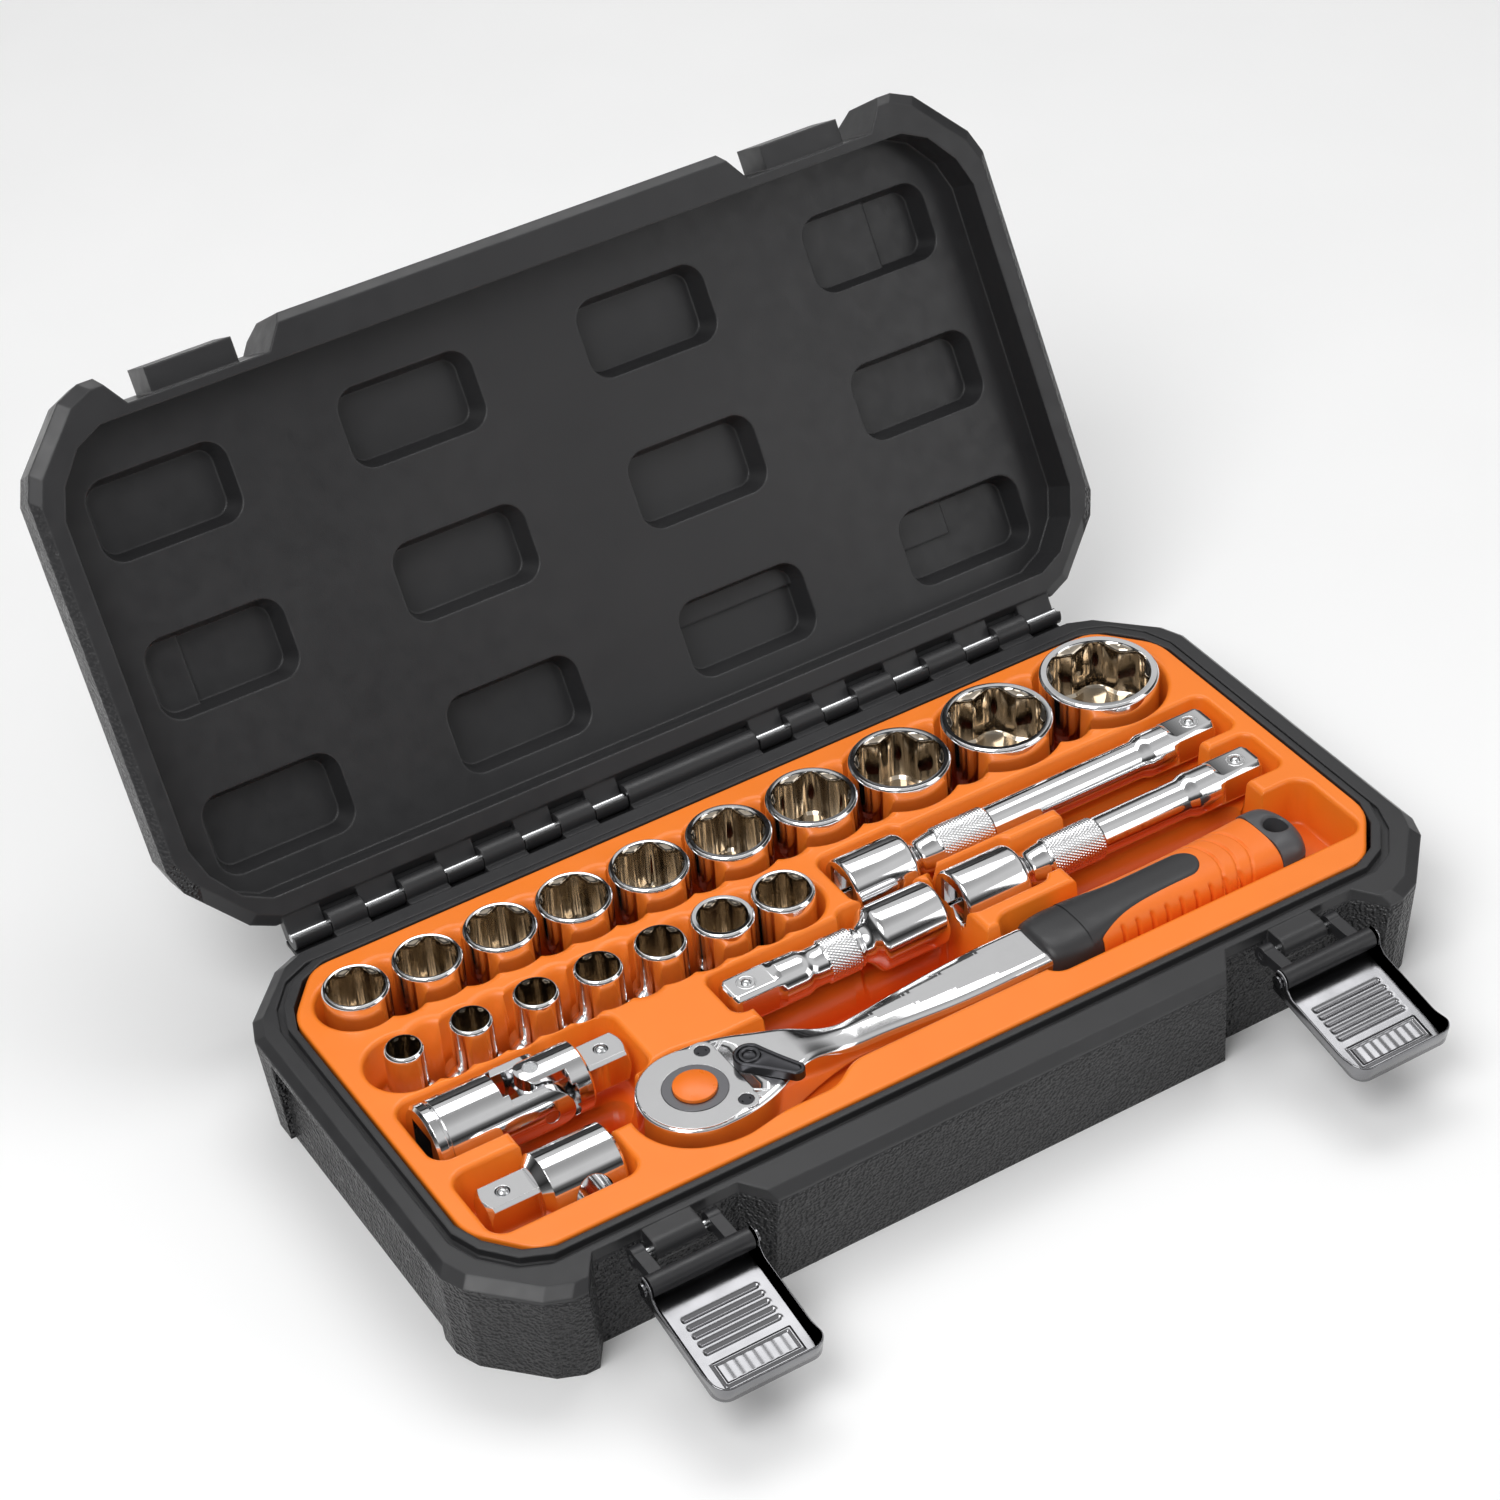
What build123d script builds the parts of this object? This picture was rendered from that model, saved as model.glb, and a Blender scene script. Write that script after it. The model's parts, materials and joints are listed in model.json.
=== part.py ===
from build123d import *
import math
import os

# Socket wrench set in a hinged case. Millimetres, +Z up, +X along the case, +Y towards the hinge.
# The origin is the centre of the base's flat underside. The lid is modelled open, the latches folded out.

# --- Case ---------------------------------------------------------------------------------------
CASE_HALF_LENGTH = 188.5
CASE_FRONT_Y = -99.0
CASE_BACK_Y = 94.0
CASE_CORNER_X = 24.0
CASE_CORNER_Y = 26.0
CASE_CORNER_SOFT = 5.0
PARTING_Z = 40.0
SHOULDER_DROP = 3.0
SHOULDER_INSET = 3.0
BASE_DRAFT = 2.5
WALL = 2.5
LID_DEPTH = 30.0
LID_CAVITY_DEPTH = 17.0
LID_DRAFT = 4.0
LID_GAP = 0.3
LID_OPEN_DEG = 120.0
BLOW_HOLE_R = 2.5

# --- Tray ---------------------------------------------------------------------------------------
TRAY_HALF_LENGTH = 175.0
TRAY_HALF_WIDTH = 79.75
TRAY_CORNER_X = 16.0
TRAY_CORNER_Y = 20.0
TRAY_CORNER_SOFT = 6.0
TRAY_TOP_Z = 42.0
TRAY_SKIN = 1.4
WELL_GAP = 1.0
TROUGH_SHARE = 0.33
TRAY_SECTIONS = (
    ("back_left", -176.0, 2.0, 36.0, 81.0),
    ("back_right", 2.0, 176.0, 28.2, 81.0),
    ("front_row", -176.0, 2.0, 3.4, 36.0),
    ("bars", 2.0, 176.0, -36.0, 28.2),
    ("joint", -176.0, -110.0, -81.0, 3.4),
    ("head", -110.0, 2.0, -81.0, 3.4),
    ("grip", 2.0, 176.0, -81.0, -36.0),
)
TONGUE_WIDTH = 2.4
TONGUE_HEIGHT = 1.6
GROOVE_WIDTH = 2.0
GROOVE_DEPTH = 1.5

# --- Lid recesses: four columns, three rows -----------------------------------------------------
RECESS_PITCH_X = 94.0
RECESS_PITCH_Y = 56.5
RECESS_MIDDLE_Y = 4.7
RECESS_LENGTH = 52.0
RECESS_WIDTH = 29.0
RECESS_DEPTH = 10.0
RECESS_CORNER_R = 8.0
RECESS_DRAFT = 2.6
RECESS_STEP = 2.0

# --- Hinge --------------------------------------------------------------------------------------
HINGE_Y = 99.4
HINGE_Z = PARTING_Z
HINGE_ROD_R = 1.5
HINGE_BARREL_R = 4.3
HINGE_RUN_GAP = 0.05
HINGE_ROD_START = 27.0
HINGE_ROD_END = 157.0
HINGE_LID_BARRELS = ((27.3, 40.0), (54.3, 68.2), (84.8, 98.7), (115.3, 129.2), (143.3, 157.0))
HINGE_BASE_BARRELS = ((40.4, 53.9), (68.6, 84.4), (99.1, 114.9), (129.6, 142.9))
HINGE_MIDDLE_HALF = 26.5
HINGE_LIP_BACK_Y = 104.5
HINGE_LIP_LOW_Z = 33.6
HINGE_LIP_HIGH_Z = 35.3
HINGE_COVER_LOW = 4.7
HINGE_COVER_TOP = 6.0
HINGE_COVER_BACK_Y = 100.4

# --- Latches ------------------------------------------------------------------------------------
LATCH_X = 120.0
LATCH_RECESS_HALF = 26.0
LATCH_RECESS_Y = -87.8
LINK_PIVOT_Y = -93.5
LINK_PIVOT_Z = 35.5
LINK_BARREL_Y = -108.0
LINK_BARREL_Z = 37.0
KNUCKLE_R = 4.2
KNUCKLE_HALF = 8.7
LINK_ARM_X = 13.5
LINK_ARM_WIDTH = 4.4
LINK_ARM_R = 3.4
LINK_BARREL_R = 3.5
LATCH_PIN_R = 1.3
LATCH_PIN_GAP = 0.06
PLATE_HALF_WIDTH = 19.5
PLATE_LENGTH = 43.0
PLATE_THICKNESS = 0.9
PLATE_DROP = 5.8
PLATE_FLANGE = 4.2
PLATE_EAR_R = 4.0
PLATE_DROOP_DEG = 12.0
PLATE_LIP = 6.5
RIB_R = 0.9
CATCH_HALF = 16.0
CATCH_FRONT_Y = -96.8
CATCH_TOP_Z = 63.3
CATCH_BOTTOM_Z = 44.0

# --- Sockets: size, outer diameter of the bore end, x, y ----------------------------------------
SOCKET_TOP_Z = 48.3
SOCKET_DRIVE_D = 22.0
SOCKET_DRIVE_LENGTH = 21.0
DRIVE_SQUARE = 12.7
DRIVE_HOLE = 12.9
DRIVE_HOLE_DEPTH = 15.5
SOCKETS_BACK_ROW = (
    (17, 23.0, -153.3, 56.0),
    (18, 24.2, -127.0, 55.3),
    (19, 25.6, -99.8, 54.7),
    (20, 26.6, -72.0, 53.6),
    (21, 28.2, -43.0, 53.0),
    (22, 30.4, -11.7, 52.4),
    (24, 32.6, 21.5, 52.0),
    (27, 36.4, 57.6, 51.6),
    (30, 40.2, 98.5, 51.4),
    (32, 43.2, 142.7, 51.4),
)
SOCKETS_FRONT_ROW = (
    (10, 14.2, -154.0, 20.0),
    (11, 15.6, -129.8, 19.2),
    (12, 16.8, -106.0, 18.6),
    (13, 18.2, -83.2, 17.4),
    (14, 19.4, -60.0, 16.4),
    (15, 20.8, -36.4, 15.6),
    (16, 22.2, -13.0, 15.0),
)
SHORT_SOCKET = 38.0
LONG_SOCKET = 42.0
LONG_SOCKET_FROM = 27

# --- Extension bars: name, length, x of the female end, y, direction of the square ---------------
BAR_AXIS_Z = 36.0
BAR_FEMALE_R = 11.5
BAR_FEMALE_LENGTH = 25.0
BAR_SHAFT_R = 7.0
BAR_KNURL_R = 7.7
BAR_KNURL_LENGTH = 20.0
BAR_COLLAR_R = 8.2
SQUARE_LENGTH = 16.0
BAR_SPLIT_FROM = 100.0
BAR_SPLIT_X = 20.0
BARS = (
    ("extension_150", 153.0, 10.0, 15.0, 1),
    ("extension_125", 126.0, 37.0, -12.0, 1),
    ("extension_75", 81.0, 29.0, -12.0, -1),
)
BALL_R = 2.4
BALL_PROUD = 1.0
BALL_HOLE_R = 2.46
BALL_FROM_TIP = 7.6

# --- Universal joint ----------------------------------------------------------------------------
UJ_X = -165.0
UJ_Y = -12.0
UJ_Z = 36.0
UJ_R = 13.0
UJ_BODY_LENGTH = 26.6
UJ_PIVOT = 40.0
UJ_EAR_R = 8.5
UJ_SLOT_HALF = 6.6
UJ_EAR_HALF = 5.7
UJ_BLOCK_HALF = 6.2
UJ_PIN_R = 2.6
UJ_PIN_GAP = 0.06
UJ_PIN_WAIST_R = 1.8
UJ_YOKE_R = 12.0
UJ_SWING_R = 12.8
UJ_YOKE_START = 49.5
UJ_YOKE_END = 57.0
UJ_LENGTH = 73.0

# --- Sliding T adapter --------------------------------------------------------------------------
TA_X = -164.5
TA_Y = -51.0
TA_Z = 36.0
TA_R = 12.0
TA_LENGTH = 46.0
TA_SQUARE = 17.5
TA_HOLE_R = 6.5
TA_HOLE_X = 33.5

# --- Ratchet: local x from the drive axis towards the grip ---------------------------------------
RATCHET_X = -85.8
RATCHET_Y = -49.3
HEAD_R = 19.5
HEAD_BOTTOM_Z = 29.5
HEAD_TOP_Z = 46.0
COVER_THICKNESS = 2.4
COVER_R = 18.6
COVER_EDGE_X = 15.0
SCREW_X = 10.7
SCREW_Y = 13.7
SCREW_HEAD_R = 2.6
SCREW_R = 1.3
GEAR_TEETH = 90
GEAR_TIP_R = 13.0
GEAR_ROOT_R = 12.4
GEAR_JOURNAL_R = 9.3
GEAR_RING_R = 10.8
GEAR_RUN_GAP = 0.06
GEAR_FLOOR_Z = 33.5
GEAR_FACE_Z = 42.0
BUTTON_R = 7.3
BUTTON_TRAVEL = 3.0
BUTTON_TOP_Z = 48.6
BUTTON_STEM_R = 1.4
ANVIL_TIP_Z = 14.0
LEVER_X = 20.4
LEVER_LENGTH = 16.5
LEVER_DEG = -57.0
LEVER_R = 5.4
LEVER_TIP_R = 2.9
LEVER_THICKNESS = 3.6
LEVER_SHAFT_R = 2.6
PAWL_INNER_R = 13.4
PAWL_OUTER_R = 17.2
PAWL_HALF_DEG = 24.0
PAWL_SWING_DEG = 8.0
SHANK_TOP_Z = 41.5
SHANK_BOTTOM_Z = 31.5
SHANK_END = 132.0
TANG_HALF = 6.0
TANG_TOP_Z = 39.0
TANG_BOTTOM_Z = 32.0
TANG_END = 214.0
GRIP_START = 130.0
GRIP_COLLAR_END = 150.0
GRIP_CAP_START = 223.0
GRIP_END = 237.5
GRIP_AXIS_Z = 34.5
GRIP_HALF_HEIGHT = 9.8
GRIP_CORE_HALF = 9.5
GRIP_CORE_HALF_HEIGHT = 6.5
HANG_HOLE_R = 4.2
HANG_HOLE_X = 230.0


# --- Helpers ------------------------------------------------------------------------------------
def box(x0, x1, y0, y1, z0, z1):
    """Box between two opposite corners."""
    centre = Pos((x0 + x1) / 2, (y0 + y1) / 2, (z0 + z1) / 2)
    return centre * Box(abs(x1 - x0), abs(y1 - y0), abs(z1 - z0))


def rod_x(x0, x1, y, z, r):
    """Round rod along X."""
    return Pos((x0 + x1) / 2, y, z) * Rot(0, 90, 0) * Cylinder(r, abs(x1 - x0))


def rod_y(x, y0, y1, z, r):
    """Round rod along Y."""
    return Pos(x, (y0 + y1) / 2, z) * Rot(90, 0, 0) * Cylinder(r, abs(y1 - y0))


def rod_z(x, y, z0, z1, r):
    """Round rod along Z."""
    return Pos(x, y, (z0 + z1) / 2) * Cylinder(r, abs(z1 - z0))


def prism(points, z0, z1):
    """Upright prism over a closed outline."""
    face = make_face(Polyline(*points, close=True))
    return Pos(0, 0, z0) * extrude(face, amount=z1 - z0, dir=(0, 0, 1))


def turned_x(points):
    """Solid turned about the X axis from (x, radius) points."""
    outline = [(x, r, 0) for x, r in points]
    return revolve(make_face(Polyline(*outline, close=True)), axis=Axis.X)


def turned_z(points):
    """Solid turned about the Z axis from (radius, z) points."""
    outline = [(r, 0, z) for r, z in points]
    return revolve(make_face(Polyline(*outline, close=True)), axis=Axis.Z)


def cut_corner_outline(half_length, y_front, y_back, cut_x, cut_y):
    """Rectangle with its four corners cut off at a slant."""
    return [
        (-half_length, y_front + cut_y),
        (-half_length + cut_x, y_front),
        (half_length - cut_x, y_front),
        (half_length, y_front + cut_y),
        (half_length, y_back - cut_y),
        (half_length - cut_x, y_back),
        (-half_length + cut_x, y_back),
        (-half_length, y_back - cut_y),
    ]


def softened(points, cut):
    """Outline with each corner replaced by a short slanted side that starts cut away from it."""
    result = []
    for index, corner in enumerate(points):
        for other in (points[index - 1], points[(index + 1) % len(points)]):
            share = cut / math.dist(corner, other)
            x = corner[0] + share * (other[0] - corner[0])
            y = corner[1] + share * (other[1] - corner[1])
            result.append((x, y))
    return result


def case_outline(inset):
    """Outer outline of the case, moved inwards by inset."""
    front = CASE_FRONT_Y + inset
    back = CASE_BACK_Y - inset
    corners = cut_corner_outline(
        CASE_HALF_LENGTH - inset, front, back, CASE_CORNER_X, CASE_CORNER_Y
    )
    return softened(corners, CASE_CORNER_SOFT)


def tray_outline(outset):
    """Outline of the tray, moved outwards by outset."""
    half = TRAY_HALF_LENGTH + outset
    width = TRAY_HALF_WIDTH + outset
    corners = cut_corner_outline(half, -width, width, TRAY_CORNER_X, TRAY_CORNER_Y)
    return softened(corners, TRAY_CORNER_SOFT)


def tapered(outline_low, z_low, outline_high, z_high):
    """Solid between two similar outlines at two heights."""
    low = Pos(0, 0, z_low) * make_face(Polyline(*outline_low, close=True))
    high = Pos(0, 0, z_high) * make_face(Polyline(*outline_high, close=True))
    return loft([low, high], ruled=True)


def latch_recess(z0, z1, margin=0.0):
    """The two flared openings in the front edge where the latches lie; margin grows them."""
    depth = LATCH_RECESS_Y - CASE_FRONT_Y
    half = LATCH_RECESS_HALF + margin
    front = CASE_FRONT_Y - 10
    flare = half + 0.7 * (depth + 10)
    cuts = Part()
    for x in (-LATCH_X, LATCH_X):
        points = [
            (x - half, LATCH_RECESS_Y + margin),
            (x + half, LATCH_RECESS_Y + margin),
            (x + flare, front),
            (x - flare, front),
        ]
        cuts += prism(points, z0, z1)
    return cuts


def save(part, name):
    """Write one node to its own file."""
    export_step(part, f"parts/{name}.step")


# --- Case base ----------------------------------------------------------------------------------
def base_shell():
    """Hollow-walled base: flat floor, sloped shoulder, tongue and groove, knuckles and barrels."""
    shoulder_z = PARTING_Z - SHOULDER_DROP
    body = tapered(case_outline(BASE_DRAFT), 0, case_outline(0), shoulder_z)
    body += tapered(case_outline(0), shoulder_z, case_outline(SHOULDER_INSET), PARTING_Z)
    body -= latch_recess(-1, PARTING_Z + 1)
    for side in (-1, 1):
        edge = side * CASE_HALF_LENGTH
        body -= box(edge - side * 4.2, edge + side, -58, 52, -1, shoulder_z - 3)

    well = prism(tray_outline(WELL_GAP), WALL, PARTING_Z + 5)
    well_wall = prism(tray_outline(WELL_GAP + WALL), 0, PARTING_Z)
    hollow = tapered(case_outline(BASE_DRAFT + 4.5), WALL, case_outline(4.5), shoulder_z - 1)
    hollow -= latch_recess(-1, PARTING_Z + 1, WALL)
    hollow -= well_wall
    body -= hollow
    tongue_outline = tray_outline(WELL_GAP + TONGUE_WIDTH)
    groove_outline = tray_outline(WELL_GAP + TONGUE_WIDTH + GROOVE_WIDTH)
    tongue = prism(tongue_outline, PARTING_Z - 1, PARTING_Z + TONGUE_HEIGHT)
    groove = prism(groove_outline, PARTING_Z - GROOVE_DEPTH, PARTING_Z + 1)
    body -= groove - prism(tongue_outline, 0, PARTING_Z + 2)
    body += tongue
    body -= well
    body -= rod_y(0, CASE_BACK_Y - 10, CASE_BACK_Y + 5, 12, BLOW_HOLE_R)

    for x in (-LATCH_X, LATCH_X):
        knuckle = rod_x(x - KNUCKLE_HALF, x + KNUCKLE_HALF, LINK_PIVOT_Y, LINK_PIVOT_Z, KNUCKLE_R)
        root_y = LATCH_RECESS_Y + 1
        low = LINK_PIVOT_Z - KNUCKLE_R
        high = LINK_PIVOT_Z + KNUCKLE_R
        knuckle += box(x - KNUCKLE_HALF, x + KNUCKLE_HALF, LINK_PIVOT_Y, root_y, low, high)
        body += knuckle
        body -= rod_x(x - 20, x + 20, LINK_PIVOT_Y, LINK_PIVOT_Z, LATCH_PIN_R + 0.01)

    web_y = CASE_BACK_Y - 1.5
    web_low = HINGE_Z - HINGE_BARREL_R
    web_high = HINGE_Z - 1.2
    bore_r = HINGE_ROD_R + HINGE_RUN_GAP
    middle = HINGE_MIDDLE_HALF
    body += rod_x(-middle, middle, HINGE_Y, HINGE_Z, HINGE_BARREL_R)
    body += box(-middle, middle, web_y, HINGE_Y, web_low, web_high)
    lip_end = HINGE_ROD_END
    body += box(-lip_end, lip_end, web_y, HINGE_LIP_BACK_Y, HINGE_LIP_LOW_Z, HINGE_LIP_HIGH_Z)
    for side in (-1, 1):
        for start, end in HINGE_BASE_BARRELS:
            x0 = side * start
            x1 = side * end
            body += rod_x(x0, x1, HINGE_Y, HINGE_Z, HINGE_BARREL_R)
            body += box(x0, x1, web_y, HINGE_Y, web_low, web_high)
        bore_start = side * (HINGE_ROD_START - 0.3)
        bore_end = side * (HINGE_ROD_END + 1)
        body -= rod_x(bore_start, bore_end, HINGE_Y, HINGE_Z, bore_r)
    return body


# --- Lid ----------------------------------------------------------------------------------------
def open_lid(part):
    """Turn a piece from the closed lid position to the open one."""
    about_hinge = Pos(0, HINGE_Y, HINGE_Z) * Rot(-LID_OPEN_DEG, 0, 0) * Pos(0, -HINGE_Y, -HINGE_Z)
    return about_hinge * part


def recess_block(column, row, grow, z0, z1):
    """Rounded block of one lid recess, narrower at its floor z1; grow is the skin left around it."""
    x = (column - 1.5) * RECESS_PITCH_X
    y = RECESS_MIDDLE_Y + row * RECESS_PITCH_Y
    length = RECESS_LENGTH + 2 * grow
    width = RECESS_WIDTH + 2 * grow
    mouth = RectangleRounded(length, width, RECESS_CORNER_R + grow)
    floor_length = length - 2 * RECESS_DRAFT
    floor_width = width - 2 * RECESS_DRAFT
    floor = RectangleRounded(floor_length, floor_width, RECESS_CORNER_R + grow - RECESS_DRAFT)
    return Pos(x, y, 0) * loft([Pos(0, 0, z0) * mouth, Pos(0, 0, z1) * floor], ruled=True)


def recess_steps(floor_z):
    """Raised parts of four recess floors, where the tools below reach less high."""
    low = floor_z - RECESS_STEP
    high = floor_z + 1
    length = RECESS_LENGTH / 2
    width = RECESS_WIDTH / 2
    steps = Part()
    x = 1.5 * RECESS_PITCH_X
    y = RECESS_MIDDLE_Y - RECESS_PITCH_Y
    steps += box(x - length, x + 0.2 * length, y - width, y + width, low, high)
    x = -1.5 * RECESS_PITCH_X
    y = RECESS_MIDDLE_Y
    steps += box(x - length, x - 0.4 * length, y - width, y + width, low, high)
    x = 0.5 * RECESS_PITCH_X
    y = RECESS_MIDDLE_Y + RECESS_PITCH_Y
    steps += box(x - length, x + length, y - width, y - 0.35 * width, low, high)
    x = 1.5 * RECESS_PITCH_X
    steps += box(x - length, x - 0.1 * length, y - width, y, low, high)
    return steps


def lid_shell():
    """Double-walled lid: outer skin, inner panel with twelve recesses, catches and hinge barrels."""
    rim_z = PARTING_Z + LID_GAP
    shoulder_z = PARTING_Z + SHOULDER_DROP
    top_z = PARTING_Z + LID_DEPTH
    edge_z = top_z - 6
    panel_z = PARTING_Z + LID_CAVITY_DEPTH
    body = tapered(case_outline(SHOULDER_INSET), rim_z, case_outline(0), shoulder_z)
    body += tapered(case_outline(0), shoulder_z, case_outline(LID_DRAFT / 2), edge_z)
    body += tapered(case_outline(LID_DRAFT / 2), edge_z, case_outline(LID_DRAFT + 3), top_z)
    body -= latch_recess(rim_z - 1, top_z + 1)

    cavity = prism(tray_outline(4.4), rim_z - 1, panel_z)
    skin_cavity = prism(tray_outline(4.4 + WALL), rim_z - 1, panel_z + WALL)
    recess_z = panel_z + RECESS_DEPTH
    hollow = tapered(case_outline(LID_DRAFT + 1), shoulder_z + 1, case_outline(LID_DRAFT + 4), top_z - WALL)
    hollow -= latch_recess(rim_z - 1, top_z + 1, WALL)
    hollow -= skin_cavity
    steps = recess_steps(recess_z)
    for column in range(4):
        for row in (-1, 0, 1):
            hollow -= recess_block(column, row, WALL, panel_z, recess_z + WALL)
            hollow -= steps & recess_block(column, row, WALL, panel_z, recess_z + WALL)
    body -= hollow
    body -= cavity
    for column in range(4):
        for row in (-1, 0, 1):
            body -= recess_block(column, row, 0, panel_z, recess_z) - steps
    body -= rod_y(0, CASE_BACK_Y - 5, CASE_BACK_Y + 5, panel_z, BLOW_HOLE_R)

    for x in (-LATCH_X, LATCH_X):
        catch = box(-CATCH_HALF, CATCH_HALF, CATCH_FRONT_Y, LATCH_RECESS_Y + 1, CATCH_BOTTOM_Z, CATCH_TOP_Z)
        body += Pos(x, 0, 0) * catch

    barrels = Part()
    for side in (-1, 1):
        for start, end in HINGE_LID_BARRELS:
            x0 = side * start
            x1 = side * end
            barrel = rod_x(x0, x1, HINGE_Y, HINGE_Z, HINGE_BARREL_R)
            front_y = HINGE_Y - 0.4
            barrel -= box(x0 - side, x1 + side, HINGE_Y - 6, front_y, HINGE_Z - 6, HINGE_Z + 1.2)
            barrel += box(x0, x1, CASE_BACK_Y - 4, HINGE_Y, HINGE_Z + 1.2, HINGE_Z + HINGE_COVER_TOP)
            barrels += barrel
        bore_start = side * (HINGE_ROD_START - 1)
        bore_end = side * (HINGE_ROD_END + 1)
        barrels -= rod_x(bore_start, bore_end, HINGE_Y, HINGE_Z, HINGE_ROD_R + HINGE_RUN_GAP)
    body += barrels
    cover_end = HINGE_ROD_END
    cover_low = HINGE_Z + HINGE_COVER_LOW
    cover_high = HINGE_Z + HINGE_COVER_TOP
    body += box(-cover_end, cover_end, CASE_BACK_Y - 4, HINGE_COVER_BACK_Y, cover_low, cover_high)
    return open_lid(body)


def hinge_rod(side):
    """Steel rod through one half of the hinge."""
    return rod_x(side * HINGE_ROD_START, side * HINGE_ROD_END, HINGE_Y, HINGE_Z, HINGE_ROD_R)


# --- Latches ------------------------------------------------------------------------------------
def latch_link(x):
    """Plastic link: two arms beside the knuckle and a barrel that carries the plate."""
    link = Part()
    for side in (-1, 1):
        arm_x = x + side * LINK_ARM_X
        half = LINK_ARM_WIDTH / 2
        link += rod_x(arm_x - half, arm_x + half, LINK_PIVOT_Y, LINK_PIVOT_Z, LINK_ARM_R)
        link += box(arm_x - half, arm_x + half, LINK_BARREL_Y, LINK_PIVOT_Y, 34.0, 38.4)
    barrel_half = PLATE_HALF_WIDTH - PLATE_THICKNESS - 0.5
    link += rod_x(x - barrel_half, x + barrel_half, LINK_BARREL_Y, LINK_BARREL_Z, LINK_BARREL_R)
    link -= rod_x(x - 30, x + 30, LINK_PIVOT_Y, LINK_PIVOT_Z, LATCH_PIN_R + LATCH_PIN_GAP)
    link -= rod_x(x - 30, x + 30, LINK_BARREL_Y, LINK_BARREL_Z, LATCH_PIN_R + 0.01)
    return link


def link_pin(x):
    """Pin through the base's knuckle and the link's arms."""
    half = LINK_ARM_X + LINK_ARM_WIDTH / 2 - 0.2
    return rod_x(x - half, x + half, LINK_PIVOT_Y, LINK_PIVOT_Z, LATCH_PIN_R)


def plate_pin(x):
    """Pin through the link's barrel and the plate's ears, with a rounded head at each end."""
    half = PLATE_HALF_WIDTH + 0.3
    pin = rod_x(x - half, x + half, LINK_BARREL_Y, LINK_BARREL_Z, LATCH_PIN_R)
    for side in (-1, 1):
        tip = x + side * half
        pin += rod_x(tip, tip + side * 0.7, LINK_BARREL_Y, LINK_BARREL_Z, LATCH_PIN_R + 0.9)
    return pin


def latch_plate(x):
    """Stamped steel plate: channel with side flanges, ears, pressed ribs and a curled lip."""
    half = PLATE_HALF_WIDTH
    skin = PLATE_THICKNESS
    floor_z = -PLATE_DROP
    tip = -PLATE_LENGTH
    plate = box(-half, half, tip, 2.0, floor_z - skin, floor_z)
    for side in (-1, 1):
        inner = side * (half - skin)
        plate += box(inner, side * half, tip, -2.0, floor_z - skin, floor_z + PLATE_FLANGE)
        plate += rod_x(inner, side * half, 0, 0, PLATE_EAR_R)
        plate += box(inner, side * half, -PLATE_EAR_R, 2.0, floor_z - skin, 0)
        plate -= rod_x(side * (half - 3), side * (half + 1), 0, 0, LATCH_PIN_R + LATCH_PIN_GAP)
    plate += box(-half, half, tip - skin, tip, floor_z - skin, floor_z + PLATE_LIP)
    for rib in range(5):
        y = -15.0 - 3.4 * rib
        plate += rod_x(-half + 6, half - 6, y, floor_z - skin, RIB_R)
    tilt = Rot(PLATE_DROOP_DEG, 0, 0)
    return Pos(x, LINK_BARREL_Y, LINK_BARREL_Z) * tilt * plate


# --- Sockets ------------------------------------------------------------------------------------
def socket_height(size):
    """Overall height of a socket."""
    return LONG_SOCKET if size >= LONG_SOCKET_FROM else SHORT_SOCKET


def lobed_hexagon(size):
    """Six-point bore with rounded corners that keep the load off the nut's corners."""
    shape = RegularPolygon(size / 2, 6, major_radius=False)
    for k in range(6):
        angle = math.radians(60 * k)
        reach = 0.49 * size
        shape += Pos(reach * math.cos(angle), reach * math.sin(angle)) * Circle(0.125 * size)
    return shape


def socket(size, outer_d, x, y):
    """Socket standing on its drive end, bore up."""
    height = socket_height(size)
    top_r = outer_d / 2
    drive_r = max(SOCKET_DRIVE_D / 2, 0.42 * outer_d)
    step = SOCKET_DRIVE_LENGTH
    blend = abs(drive_r - top_r) + 0.6
    outline = [
        (0, 0),
        (drive_r - 1.2, 0),
        (drive_r, 1.2),
        (drive_r, step - blend),
        (top_r, step + 0.6),
        (top_r, height - 0.8),
        (top_r - 0.8, height),
        (0, height),
    ]
    body = turned_z(outline)
    bore_depth = 0.5 * height
    body -= Pos(0, 0, height - bore_depth) * extrude(lobed_hexagon(size), amount=bore_depth + 1)
    square = Rectangle(DRIVE_HOLE, DRIVE_HOLE)
    body -= Pos(0, 0, -1) * extrude(square, amount=DRIVE_HOLE_DEPTH + 1)
    body -= rod_z(0, 0, 0, height, min(0.36 * size, 5.5))
    return Pos(x, y, SOCKET_TOP_Z - height) * body


# --- Square drive shared by the bars, the universal joint and the adapter ------------------------
def male_square(start, end, corner_r):
    """Square drive along X with rounded corners and a bevelled tip."""
    half = DRIVE_SQUARE / 2
    square = box(start, end, -half, half, -half, half)
    tip_r = corner_r - 2.2
    bevel = turned_x([(start, 0), (start, corner_r), (end - 1.5, corner_r), (end, tip_r), (end, 0)])
    return square & bevel


def ball_hole(tip, step=-1):
    """Blind hole in the top flat for the detent ball; step is the direction away from the tip."""
    x = tip + step * BALL_FROM_TIP
    return rod_z(x, 0, 1.0, DRIVE_SQUARE / 2 + 1, BALL_HOLE_R)


def detent_ball(tip, step=-1):
    """Detent ball standing proud of the top flat."""
    centre = DRIVE_SQUARE / 2 + BALL_PROUD - BALL_R
    return Pos(tip + step * BALL_FROM_TIP, 0, centre) * Sphere(BALL_R)


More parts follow.
